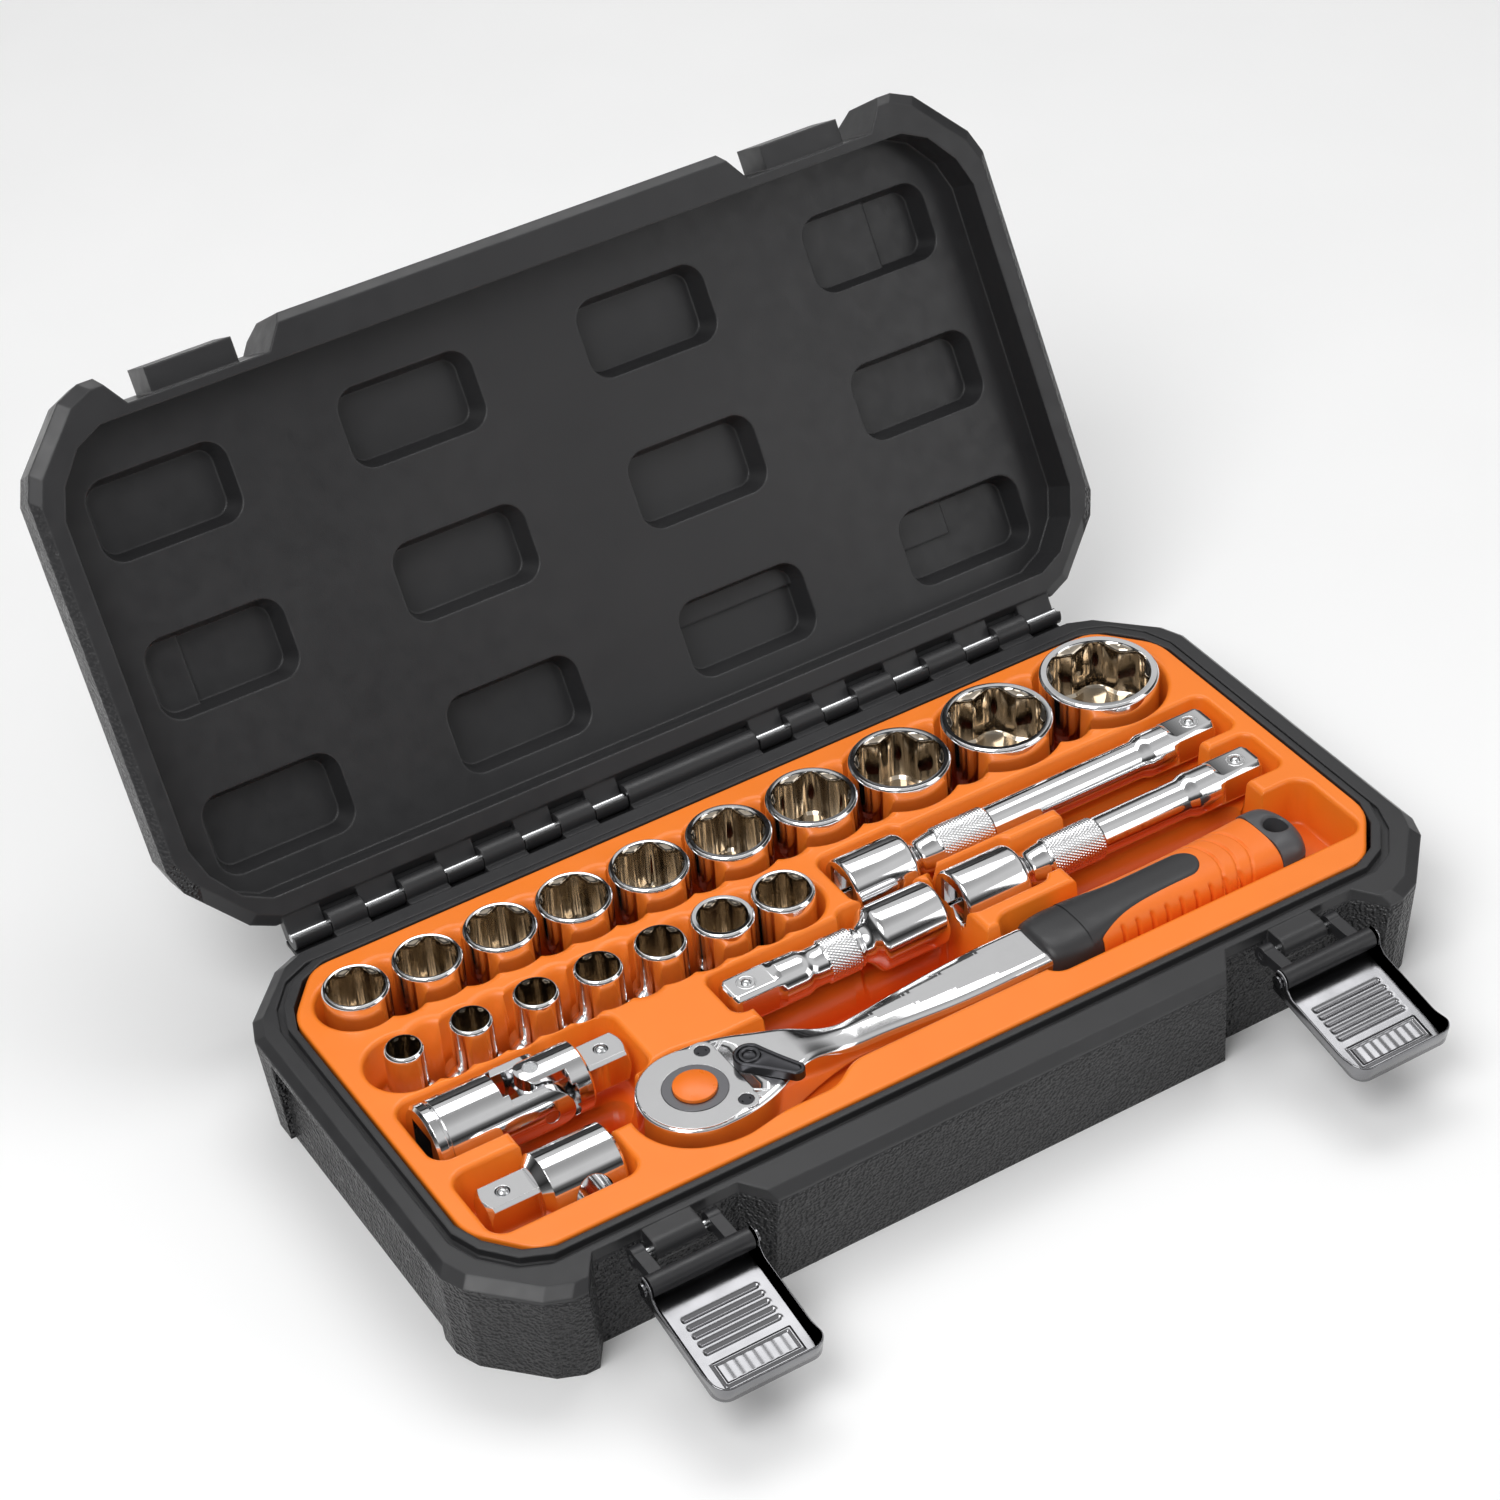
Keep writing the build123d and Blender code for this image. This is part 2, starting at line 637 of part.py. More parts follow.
def female_square(depth):
    """Square hole from the x = 0 face."""
    half = DRIVE_HOLE / 2
    return box(-1, depth, -half, half, -half, half)


# --- Extension bars -----------------------------------------------------------------------------
def place_bar(part, x, y, direction):
    """Lay a bar in the tray: direction 1 points the square to +X, -1 to -X."""
    turn = 0 if direction > 0 else 180
    return Pos(x, y, BAR_AXIS_Z) * Rot(0, 0, turn) * part


def extension_bar(length):
    """Extension bar along X: female end at x = 0, male square at x = length."""
    knurl_start = BAR_FEMALE_LENGTH + 13
    knurl_end = knurl_start + BAR_KNURL_LENGTH
    square_start = length - SQUARE_LENGTH
    neck_r = BAR_SHAFT_R - 0.6
    if length < 100:
        knurl_start = BAR_FEMALE_LENGTH + 8
        knurl_end = knurl_start + 11
    outline = [
        (0, 0),
        (0, BAR_FEMALE_R - 1),
        (1, BAR_FEMALE_R),
        (BAR_FEMALE_LENGTH, BAR_FEMALE_R),
        (BAR_FEMALE_LENGTH + 4, neck_r + 1),
        (BAR_FEMALE_LENGTH + 6, neck_r),
        (knurl_start - 1, BAR_SHAFT_R),
        (knurl_start, BAR_KNURL_R),
        (knurl_end, BAR_KNURL_R),
        (knurl_end + 1, BAR_SHAFT_R),
        (square_start - 14, BAR_SHAFT_R),
        (square_start - 12, BAR_COLLAR_R),
        (square_start - 1.6, BAR_COLLAR_R),
        (square_start - 1.2, BAR_COLLAR_R - 1.2),
        (square_start + 0.5, BAR_COLLAR_R - 1.2),
        (square_start + 0.5, 0),
    ]
    bar = turned_x(outline)
    bar += male_square(square_start, length, BAR_COLLAR_R)
    bar -= female_square(16.5)
    bar -= ball_hole(length)
    return bar


# --- Universal joint ----------------------------------------------------------------------------
def uj_socket_yoke():
    """Socket end of the universal joint, with ears on the front and back sides."""
    body = turned_x([(0, 0), (0, UJ_R - 1), (1, UJ_R), (UJ_PIVOT + 9, UJ_R), (UJ_PIVOT + 9, 0)])
    body -= turned_x([(4, UJ_R - 0.7), (5.2, UJ_R - 0.7), (5.2, UJ_R + 1), (4, UJ_R + 1)])
    body -= box(UJ_BODY_LENGTH, UJ_PIVOT + 12, -UJ_SLOT_HALF, UJ_SLOT_HALF, -UJ_R - 1, UJ_R + 1)
    outside_ears = box(UJ_BODY_LENGTH + 2, UJ_PIVOT + 12, -UJ_R - 1, UJ_R + 1, -UJ_R - 1, UJ_R + 1)
    outside_ears -= rod_y(UJ_PIVOT, -UJ_R - 2, UJ_R + 2, 0, UJ_EAR_R)
    outside_ears -= box(UJ_BODY_LENGTH, UJ_PIVOT, -UJ_R - 2, UJ_R + 2, -UJ_EAR_R, UJ_EAR_R)
    body -= outside_ears
    body -= female_square(16.5)
    body -= rod_y(UJ_PIVOT, -UJ_R - 2, UJ_R + 2, 0, UJ_PIN_R + UJ_PIN_GAP)
    return body


def uj_block():
    """Centre block of the universal joint, bored for both pins."""
    half = UJ_BLOCK_HALF
    block = box(UJ_PIVOT - half, UJ_PIVOT + half, -half, half, -half, half)
    block = block & (Pos(UJ_PIVOT, 0, 0) * Sphere(half * 1.32))
    block -= rod_y(UJ_PIVOT, -10, 10, 0, UJ_PIN_R + 0.01)
    block -= rod_z(UJ_PIVOT, 0, -10, 10, UJ_PIN_WAIST_R + 0.01)
    return block


def uj_long_pin():
    """Pin across the socket yoke, front to back, bored for the short pin."""
    reach = math.sqrt(UJ_R**2 - UJ_PIN_R**2) - 0.1
    pin = rod_y(UJ_PIVOT, -reach, reach, 0, UJ_PIN_R)
    return pin - rod_z(UJ_PIVOT, 0, -10, 10, UJ_PIN_WAIST_R + 0.01)


def uj_short_pin():
    """Pin across the drive yoke, top to bottom, thinner in the middle where it passes the other pin."""
    reach = math.sqrt(UJ_YOKE_R**2 - UJ_PIN_R**2) - 0.1
    waist = UJ_PIN_WAIST_R
    shoulder = UJ_BLOCK_HALF + 0.1
    outline = [
        (0, -reach),
        (UJ_PIN_R, -reach),
        (UJ_PIN_R, -shoulder),
        (waist, -shoulder),
        (waist, shoulder),
        (UJ_PIN_R, shoulder),
        (UJ_PIN_R, reach),
        (0, reach),
    ]
    return Pos(UJ_PIVOT, 0, 0) * turned_z(outline)


def uj_drive_yoke():
    """Drive end of the universal joint, with ears above and below the block."""
    start = UJ_PIVOT - UJ_EAR_R
    outline = [
        (start, 0),
        (start, UJ_YOKE_R),
        (UJ_YOKE_END - 1, UJ_YOKE_R),
        (UJ_YOKE_END, UJ_YOKE_R - 1),
        (UJ_YOKE_END, 0),
    ]
    body = turned_x(outline)
    slot_end = UJ_YOKE_START + 1.5
    body -= box(start - 1, slot_end, -UJ_R - 1, UJ_R + 1, -UJ_SLOT_HALF, UJ_SLOT_HALF)
    outside_ears = box(start - 1, UJ_YOKE_START, -UJ_R - 1, UJ_R + 1, -UJ_R - 1, UJ_R + 1)
    outside_ears -= rod_z(UJ_PIVOT, 0, -UJ_R - 2, UJ_R + 2, UJ_EAR_HALF)
    ear_end = UJ_YOKE_START + 1
    outside_ears -= box(UJ_PIVOT, ear_end, -UJ_EAR_HALF, UJ_EAR_HALF, -UJ_R - 2, UJ_R + 2)
    body -= outside_ears
    swept = rod_y(UJ_PIVOT, -UJ_R, UJ_R, 0, UJ_SWING_R)
    body = body & (swept + box(UJ_PIVOT, UJ_YOKE_END, -UJ_R, UJ_R, -UJ_R, UJ_R))
    body += male_square(UJ_YOKE_END - 1, UJ_LENGTH, BAR_COLLAR_R)
    body -= rod_z(UJ_PIVOT, 0, -UJ_R - 2, UJ_R + 2, UJ_PIN_R + UJ_PIN_GAP)
    body -= ball_hole(UJ_LENGTH)
    return body


def place_uj(part):
    """Lay a piece of the universal joint in the tray."""
    return Pos(UJ_X, UJ_Y, UJ_Z) * part


# --- Sliding T adapter --------------------------------------------------------------------------
def t_adapter():
    """Round body with a cross hole for a bar, and a male square pointing to -X."""
    outline = [
        (TA_SQUARE, 0),
        (TA_SQUARE, TA_R - 3),
        (TA_SQUARE + 3, TA_R),
        (TA_LENGTH - 1, TA_R),
        (TA_LENGTH, TA_R - 1),
        (TA_LENGTH, 0),
    ]
    body = turned_x(outline)
    body -= rod_y(TA_HOLE_X, -TA_R - 1, TA_R + 1, 0, TA_HOLE_R)
    body += Rot(0, 0, 180) * male_square(-TA_SQUARE - 1, 0, BAR_COLLAR_R)
    body -= ball_hole(0, 1)
    return body


def place_ta(part):
    """Lay a piece of the T adapter in the tray."""
    return Pos(TA_X, TA_Y, TA_Z) * part


# --- Ratchet ------------------------------------------------------------------------------------
def place_ratchet(part):
    """Lay a piece of the ratchet in the tray."""
    return Pos(RATCHET_X, RATCHET_Y, 0) * part


def gear_outline():
    """Fine-toothed outline of the drive gear."""
    points = []
    for tooth in range(GEAR_TEETH):
        for part_turn, radius in ((0.0, GEAR_ROOT_R), (0.5, GEAR_TIP_R)):
            angle = 2 * math.pi * (tooth + part_turn) / GEAR_TEETH
            points.append((radius * math.cos(angle), radius * math.sin(angle)))
    return points


def sector(r0, r1, half_deg, z0, z1):
    """Ring sector about +X."""
    ring = rod_z(0, 0, z0, z1, r1) - rod_z(0, 0, z0 - 1, z1 + 1, r0)
    reach = 2 * r1
    half = math.radians(half_deg)
    far_x = reach * math.cos(half)
    far_y = reach * math.sin(half)
    return ring & prism([(0, 0), (far_x, -far_y), (far_x, far_y)], z0, z1)


def cover_plan(grow, z0, z1):
    """Head cover: a disc cut off beside the lever."""
    disc = rod_z(0, 0, z0, z1, COVER_R + grow)
    ears = rod_z(SCREW_X, SCREW_Y, z0, z1, 4.2 + grow) + rod_z(SCREW_X, -SCREW_Y, z0, z1, 4.2 + grow)
    return (disc + ears) & box(-40, COVER_EDGE_X + grow, -40, 40, z0, z1)


def ratchet_body():
    """Forged body: pear-shaped head, neck, shank and the tang inside the grip."""
    upper = [(0, HEAD_R), (14, 18.6), (27, 14.0), (40, 8.4), (52, 6.6), (64, 6.8)]
    lower = [(x, -y) for x, y in reversed(upper)]
    body = prism(upper + lower, HEAD_BOTTOM_Z, HEAD_TOP_Z)
    body += rod_z(0, 0, HEAD_BOTTOM_Z, HEAD_TOP_Z, HEAD_R)
    over = HEAD_TOP_Z + 1
    slope = [(38, over), (38, HEAD_TOP_Z), (58, SHANK_TOP_Z), (70, SHANK_TOP_Z), (70, over)]
    wedge_face = make_face(Polyline(*[(x, -30, z) for x, z in slope], close=True))
    body -= extrude(wedge_face, amount=60, dir=(0, 1, 0))
    shank = [(52, 6.6), (72, 7.4), (108, 10.6), (SHANK_END, 10.6)]
    shank_outline = shank + [(x, -y) for x, y in reversed(shank)]
    body += prism(shank_outline, SHANK_BOTTOM_Z, SHANK_TOP_Z)
    body += box(SHANK_END - 1, TANG_END, -TANG_HALF, TANG_HALF, TANG_BOTTOM_Z, TANG_TOP_Z)

    body -= rod_z(0, 0, GEAR_FLOOR_Z, HEAD_TOP_Z + 1, GEAR_TIP_R + 0.35)
    body -= rod_z(0, 0, HEAD_BOTTOM_Z - 1, HEAD_TOP_Z, GEAR_JOURNAL_R + GEAR_RUN_GAP)
    body -= cover_plan(0.1, HEAD_TOP_Z - COVER_THICKNESS, HEAD_TOP_Z + 1)
    pawl_half = PAWL_HALF_DEG + PAWL_SWING_DEG + 4
    body -= sector(GEAR_TIP_R, PAWL_OUTER_R + 0.3, pawl_half, GEAR_FLOOR_Z, GEAR_FACE_Z + 0.3)
    body -= rod_z(LEVER_X, 0, GEAR_FLOOR_Z, HEAD_TOP_Z + 1, LEVER_SHAFT_R + GEAR_RUN_GAP)
    for y in (-SCREW_Y, SCREW_Y):
        body -= rod_z(SCREW_X, y, HEAD_TOP_Z - 9, HEAD_TOP_Z, SCREW_R + 0.01)
    return body


def head_cover():
    """Plate over the gear, with the ring hole and two screw holes."""
    cover = cover_plan(0, HEAD_TOP_Z - COVER_THICKNESS, HEAD_TOP_Z)
    cover -= rod_z(0, 0, HEAD_TOP_Z - 5, HEAD_TOP_Z + 1, GEAR_RING_R + GEAR_RUN_GAP)
    for y in (-SCREW_Y, SCREW_Y):
        cover -= rod_z(SCREW_X, y, HEAD_TOP_Z - 5, HEAD_TOP_Z + 1, SCREW_R + 0.01)
        cover -= rod_z(SCREW_X, y, HEAD_TOP_Z - 1.4, HEAD_TOP_Z + 1, SCREW_HEAD_R + 0.05)
    return cover


def cover_screws():
    """The two screws that hold the head cover."""
    screws = Part()
    for y in (-SCREW_Y, SCREW_Y):
        screws += rod_z(SCREW_X, y, HEAD_TOP_Z - 8.5, HEAD_TOP_Z - 0.3, SCREW_R)
        head = rod_z(SCREW_X, y, HEAD_TOP_Z - 1.4, HEAD_TOP_Z - 0.3, SCREW_HEAD_R)
        head -= Pos(SCREW_X, y, HEAD_TOP_Z - 0.5) * Box(3.2, 0.8, 0.8)
        screws += head
    return screws


def drive_gear():
    """Toothed gear with its lower journal, upper ring and square drive."""
    gear = prism(gear_outline(), GEAR_FLOOR_Z + 0.1, GEAR_FACE_Z)
    gear += rod_z(0, 0, HEAD_BOTTOM_Z - 0.2, GEAR_FLOOR_Z + 0.1, GEAR_JOURNAL_R)
    gear += rod_z(0, 0, GEAR_FACE_Z, HEAD_TOP_Z + 0.2, GEAR_RING_R)
    square = Rot(0, 90, 0) * male_square(0, HEAD_BOTTOM_Z - ANVIL_TIP_Z, BAR_COLLAR_R)
    gear += Pos(0, 0, HEAD_BOTTOM_Z) * square
    gear -= rod_z(0, 0, HEAD_TOP_Z - 7, HEAD_TOP_Z + 1, BUTTON_R + 0.06)
    gear -= rod_z(0, 0, ANVIL_TIP_Z - 1, HEAD_TOP_Z, BUTTON_STEM_R + 0.06)
    hole = Rot(0, 90, 0) * rod_z(0, 0, 1.0, 8, BALL_HOLE_R)
    gear -= Pos(0, 0, ANVIL_TIP_Z + BALL_FROM_TIP) * hole
    return gear


def ratchet_ball():
    """Detent ball in the ratchet's square, facing +X."""
    centre = DRIVE_SQUARE / 2 + BALL_PROUD - BALL_R
    return Pos(centre, 0, ANVIL_TIP_Z + BALL_FROM_TIP) * Sphere(BALL_R)


def release_button():
    """Quick-release button: domed head in the ring and a stem down the square."""
    seat_z = HEAD_TOP_Z - 7 + BUTTON_TRAVEL + 0.4
    head = rod_z(0, 0, seat_z, BUTTON_TOP_Z, BUTTON_R)
    dome = Pos(0, 0, BUTTON_TOP_Z - 22) * Sphere(22)
    head = head & dome
    return head + rod_z(0, 0, ANVIL_TIP_Z + BUTTON_TRAVEL + 0.5, seat_z + 1, BUTTON_STEM_R)


def reversing_lever():
    """Teardrop lever with its shaft."""
    angle = math.radians(LEVER_DEG)
    tip_x = LEVER_X + LEVER_LENGTH * math.cos(angle)
    tip_y = LEVER_LENGTH * math.sin(angle)
    z0 = HEAD_TOP_Z + 0.3
    z1 = z0 + LEVER_THICKNESS
    side_x = -math.sin(angle)
    side_y = math.cos(angle)
    outline = [
        (LEVER_X + side_x * LEVER_R, side_y * LEVER_R),
        (LEVER_X - side_x * LEVER_R, -side_y * LEVER_R),
        (tip_x - side_x * LEVER_TIP_R, tip_y - side_y * LEVER_TIP_R),
        (tip_x + side_x * LEVER_TIP_R, tip_y + side_y * LEVER_TIP_R),
    ]
    lever = prism(outline, z0, z1)
    lever += rod_z(LEVER_X, 0, z0, z1, LEVER_R)
    lever += rod_z(tip_x, tip_y, z0, z1, LEVER_TIP_R)
    lever += rod_z(LEVER_X, 0, GEAR_FLOOR_Z + 0.5, z0, LEVER_SHAFT_R)
    lever -= rod_z(LEVER_X, 0, z1 - 1.2, z1 + 1, 2.4)
    return lever


def pawl():
    """Curved pawl between the gear and the lever's shaft."""
    start = -PAWL_SWING_DEG / 2
    block = sector(PAWL_INNER_R, PAWL_OUTER_R, PAWL_HALF_DEG, GEAR_FLOOR_Z + 0.5, GEAR_FACE_Z - 0.5)
    return Rot(0, 0, start) * block


def grip_outline(x0, x1, shrink=0.0):
    """Plan outline of the grip between two stations: waisted, and widest at its two ends."""
    def half_width(x):
        along = (x - GRIP_START) / (GRIP_END - GRIP_START)
        ends = 14.2 - 2.0 * math.sin(math.pi * min(max(along * 1.15, 0), 1))
        return ends - 2.6 * max(0, 1 - (x - GRIP_START) / 14) - shrink

    count = 8
    stations = [x0 + (x1 - x0) * i / count for i in range(count + 1)]
    upper = [(x, half_width(x)) for x in stations]
    lower = [(x, -y) for x, y in reversed(upper)]
    return upper + lower


def grip_block(x0, x1, shrink=0.0):
    """Block of the grip with softened long edges."""
    half = GRIP_HALF_HEIGHT - shrink
    block = prism(grip_outline(x0, x1, shrink), GRIP_AXIS_Z - half, GRIP_AXIS_Z + half)
    across = Plane(origin=(x0 - 1, 0, GRIP_AXIS_Z), x_dir=(0, 1, 0), z_dir=(1, 0, 0))
    section = across * RectangleRounded(2 * (14.6 - shrink), 2 * half, 6.5)
    return block & extrude(section, amount=x1 - x0 + 2)


def tang_room():
    """Space that the steel tang fills."""
    return box(GRIP_START - 5, TANG_END, -TANG_HALF, TANG_HALF, TANG_BOTTOM_Z, TANG_TOP_Z)


def shank_room():
    """Space that the end of the shank fills inside the collar."""
    return box(GRIP_START - 5, SHANK_END, -10.6, 10.6, SHANK_BOTTOM_Z, SHANK_TOP_Z)


def inlay(grow):
    """Pointed inlay on top of the grip, in the same plastic as the collar."""
    outline = [
        (GRIP_COLLAR_END - 3, 9.0 + grow),
        (176, 7.2 + grow),
        (194, 6.4 + grow),
        (200 + grow, 0),
        (194, -6.4 - grow),
        (176, -7.2 - grow),
        (GRIP_COLLAR_END - 3, -9.0 - grow),
    ]
    return prism(outline, GRIP_AXIS_Z, GRIP_AXIS_Z + GRIP_HALF_HEIGHT)


def grip_core():
    """Hard black part of the grip: collar, core around the tang and the inlay."""
    core = grip_block(GRIP_START, GRIP_COLLAR_END)
    half = GRIP_CORE_HALF
    low = GRIP_AXIS_Z - GRIP_CORE_HALF_HEIGHT
    high = GRIP_AXIS_Z + GRIP_CORE_HALF_HEIGHT
    core += box(GRIP_COLLAR_END - 1, GRIP_CAP_START, -half, half, low, high)
    core += inlay(0)
    core -= shank_room()
    core -= tang_room()
    return core


def grip_sleeve():
    """Soft orange sleeve around the core, with side grooves."""
    half = GRIP_CORE_HALF + 0.02
    low = GRIP_AXIS_Z - GRIP_CORE_HALF_HEIGHT - 0.02
    high = GRIP_AXIS_Z + GRIP_CORE_HALF_HEIGHT + 0.02
    sleeve = grip_block(GRIP_COLLAR_END, GRIP_CAP_START)
    sleeve -= box(GRIP_COLLAR_END - 2, GRIP_CAP_START + 1, -half, half, low, high)
    sleeve -= inlay(0.02)
    for groove in range(9):
        x = 158 + 6 * groove
        for side in (-1, 1):
            sleeve -= box(x, x + 1.2, side * 11.9, side * 16, GRIP_AXIS_Z - 5, GRIP_AXIS_Z + 7)
    return sleeve


def grip_cap():
    """End cap with the hanging hole."""
    cap = grip_block(GRIP_CAP_START, GRIP_END)
    cap = cap & rod_z(GRIP_END - 22, 0, 0, 60, 22)
    cap -= rod_z(HANG_HOLE_X, 0, 0, 60, HANG_HOLE_R)
    return cap


# --- Tray ---------------------------------------------------------------------------------------
def socket_floor(size):
    """Floor of the pocket that a socket stands in."""
    return SOCKET_TOP_Z - socket_height(size) - 0.3


def socket_pockets(row, grow, drop):
    """Round pockets of one row of sockets, joined into one trough with scalloped sides."""
    pockets = Part()
    for size, outer_d, x, y in row:
        radius = max(outer_d / 2, SOCKET_DRIVE_D / 2) + 1.0 + grow
        pockets += rod_z(x, y, socket_floor(size) - drop, TRAY_TOP_Z + 1, radius)
    for left, right in zip(row, row[1:]):
        half = TROUGH_SHARE * max(min(left[1], right[1]), SOCKET_DRIVE_D) + grow
        y = (left[3] + right[3]) / 2
        floor = max(socket_floor(left[0]), socket_floor(right[0])) - drop
        pockets += box(left[2], right[2], y - half, y + half, floor, TRAY_TOP_Z + 1)
    return pockets


def round_end_pocket(x0, x1, y, half, floor):
    """Straight pocket with slightly rounded corners."""
    outline = RectangleRounded(x1 - x0, 2 * half, 3)
    return Pos((x0 + x1) / 2, y, floor) * extrude(outline, amount=TRAY_TOP_Z + 1 - floor)


def tool_pockets(grow, drop):
    """Pockets of the bars, the universal joint, the adapter and the ratchet, with finger wells."""
    g = grow
    rest = BAR_AXIS_Z - BAR_FEMALE_R - 0.3 - drop
    shaft = BAR_AXIS_Z - BAR_COLLAR_R - 0.8 - drop
    deep = 10.0 - drop
    pockets = Part()
    for name, length, x, y, direction in BARS:
        tip = x + direction * length
        female_end = x + direction * (BAR_FEMALE_LENGTH + 5)
        low, high = sorted((x - direction * 1.5, female_end))
        pockets += round_end_pocket(low - g, high + g, y, BAR_FEMALE_R + 1 + g, rest)
        low, high = sorted((x, tip + direction * 2.0))
        pockets += round_end_pocket(low - g, high + g, y, BAR_COLLAR_R + 1.4 + g, shaft)
    uj_floor = UJ_Z - UJ_R - 0.3 - drop
    pockets += round_end_pocket(UJ_X - 1.5 - g, UJ_X + UJ_LENGTH + 2 + g, UJ_Y, UJ_R + 1 + g, uj_floor)
    ta_floor = TA_Z - TA_R - 0.3 - drop
    pockets += round_end_pocket(TA_X - 2 - g, TA_X + TA_LENGTH + 1.5 + g, TA_Y, TA_R + 2.2 + g, ta_floor)
    pockets += rod_z(RATCHET_X, RATCHET_Y, HEAD_BOTTOM_Z - 0.5 - drop, TRAY_TOP_Z + 1, HEAD_R + 1.5 + g)
    pockets += rod_z(RATCHET_X, RATCHET_Y, ANVIL_TIP_Z - 1 - drop, TRAY_TOP_Z, 11 + g)
    neck_floor = HEAD_BOTTOM_Z - 0.5 - drop
    pockets += round_end_pocket(RATCHET_X - g, RATCHET_X + 44 + g, RATCHET_Y, 19.5 + g, neck_floor)
    pockets += round_end_pocket(RATCHET_X + 30 - g, 46 + g, RATCHET_Y, 12.5 + g, neck_floor)
    grip_floor = GRIP_AXIS_Z - GRIP_HALF_HEIGHT - 0.4 - drop
    pockets += round_end_pocket(RATCHET_X + GRIP_START - 3 - g, 167 + g, RATCHET_Y, 16 + g, grip_floor)
    pockets += round_end_pocket(-140 - g, -98 + g, -31, 13 + g, deep)
    pockets += round_end_pocket(-46 - g, 33 + g, -28, 13 + g, deep)
    pockets += round_end_pocket(92 - g, 150 + g, 0, 9 + g, deep)
    pockets += round_end_pocket(76 - g, 150 + g, -29, 12 + g, deep)
    return pockets


def tool_tray():
    """Thin formed tray: a flat top sheet with sunken pockets, open underneath.

    It is one piece, written as seven sections that meet face to face.
    """
    low = WALL + 0.2
    block = tapered(tray_outline(-3), low, tray_outline(-0.6), TRAY_TOP_Z - 3)
    block += prism(tray_outline(0), TRAY_TOP_Z - 3, TRAY_TOP_Z)
    pockets = socket_pockets(SOCKETS_BACK_ROW, 0, 0)
    pockets += socket_pockets(SOCKETS_FRONT_ROW, 0, 0)
    pockets += tool_pockets(0, 0)
    formed = socket_pockets(SOCKETS_BACK_ROW, TRAY_SKIN, TRAY_SKIN)
    formed += socket_pockets(SOCKETS_FRONT_ROW, TRAY_SKIN, TRAY_SKIN)
    formed += tool_pockets(TRAY_SKIN, TRAY_SKIN)
    under_low = tray_outline(-3 - TRAY_SKIN)
    under_high = tray_outline(-0.6 - TRAY_SKIN)
    under = tapered(under_low, low - 1, under_high, TRAY_TOP_Z - TRAY_SKIN)
    under -= formed
    return block - pockets - under


# --- Write every node ---------------------------------------------------------------------------
def main():
    """Build and write all nodes."""
    os.makedirs("parts", exist_ok=True)
    save(base_shell(), "base_shell")
    save(lid_shell(), "lid_shell")
    tray = tool_tray()
    for label, x0, x1, y0, y1 in TRAY_SECTIONS:
        save(tray & box(x0, x1, y0, y1, 0, TRAY_TOP_Z + 1), f"tray_{label}")
    save(hinge_rod(-1) + hinge_rod(1), "hinge_rods")
    save(link_pin(-LATCH_X) + link_pin(LATCH_X), "link_pins")
    for label, side in (("left", -1), ("right", 1)):
        save(latch_link(side * LATCH_X), f"latch_link_{label}")
        save(latch_plate(side * LATCH_X), f"latch_plate_{label}")
        save(plate_pin(side * LATCH_X), f"plate_pin_{label}")
    for size, outer_d, x, y in SOCKETS_BACK_ROW + SOCKETS_FRONT_ROW:
        save(socket(size, outer_d, x, y), f"socket_{size}")
    for name, length, x, y, direction in BARS:
        bar = extension_bar(length)
        if length > BAR_SPLIT_FROM:
            drive_end = bar & box(-1, BAR_SPLIT_X, -20, 20, -20, 20)
            save(place_bar(drive_end, x, y, direction), f"{name}_end")
            bar -= box(-1, BAR_SPLIT_X, -20, 20, -20, 20)
        save(place_bar(bar, x, y, direction), name)
        save(place_bar(detent_ball(length), x, y, direction), f"{name}_ball")

    save(place_uj(uj_socket_yoke()), "uj_socket_yoke")
    save(place_uj(uj_block()), "uj_block")
    save(place_uj(uj_long_pin() + uj_short_pin()), "uj_pins")
    save(place_uj(uj_drive_yoke()), "uj_drive_yoke")
    save(place_uj(detent_ball(UJ_LENGTH)), "uj_ball")
    save(place_ta(t_adapter()), "t_adapter")
    save(place_ta(detent_ball(0, 1)), "t_adapter_ball")

    save(place_ratchet(ratchet_body()), "ratchet_body")
    save(place_ratchet(head_cover()), "head_cover")
    save(place_ratchet(cover_screws()), "cover_screws")
    save(place_ratchet(drive_gear()), "drive_gear")
    save(place_ratchet(ratchet_ball()), "ratchet_ball")
    save(place_ratchet(release_button()), "release_button")
    save(place_ratchet(reversing_lever()), "reversing_lever")
    save(place_ratchet(pawl()), "pawl")
    save(place_ratchet(grip_core()), "grip_core")
    save(place_ratchet(grip_sleeve()), "grip_sleeve")
    save(place_ratchet(grip_cap()), "grip_cap")


main()
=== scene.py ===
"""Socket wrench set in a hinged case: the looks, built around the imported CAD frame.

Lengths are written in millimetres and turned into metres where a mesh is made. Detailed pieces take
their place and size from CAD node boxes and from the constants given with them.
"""

import json
import math
from itertools import combinations

import bpy
import numpy as np
from mathutils import Matrix, Vector
from mathutils.geometry import delaunay_2d_cdt


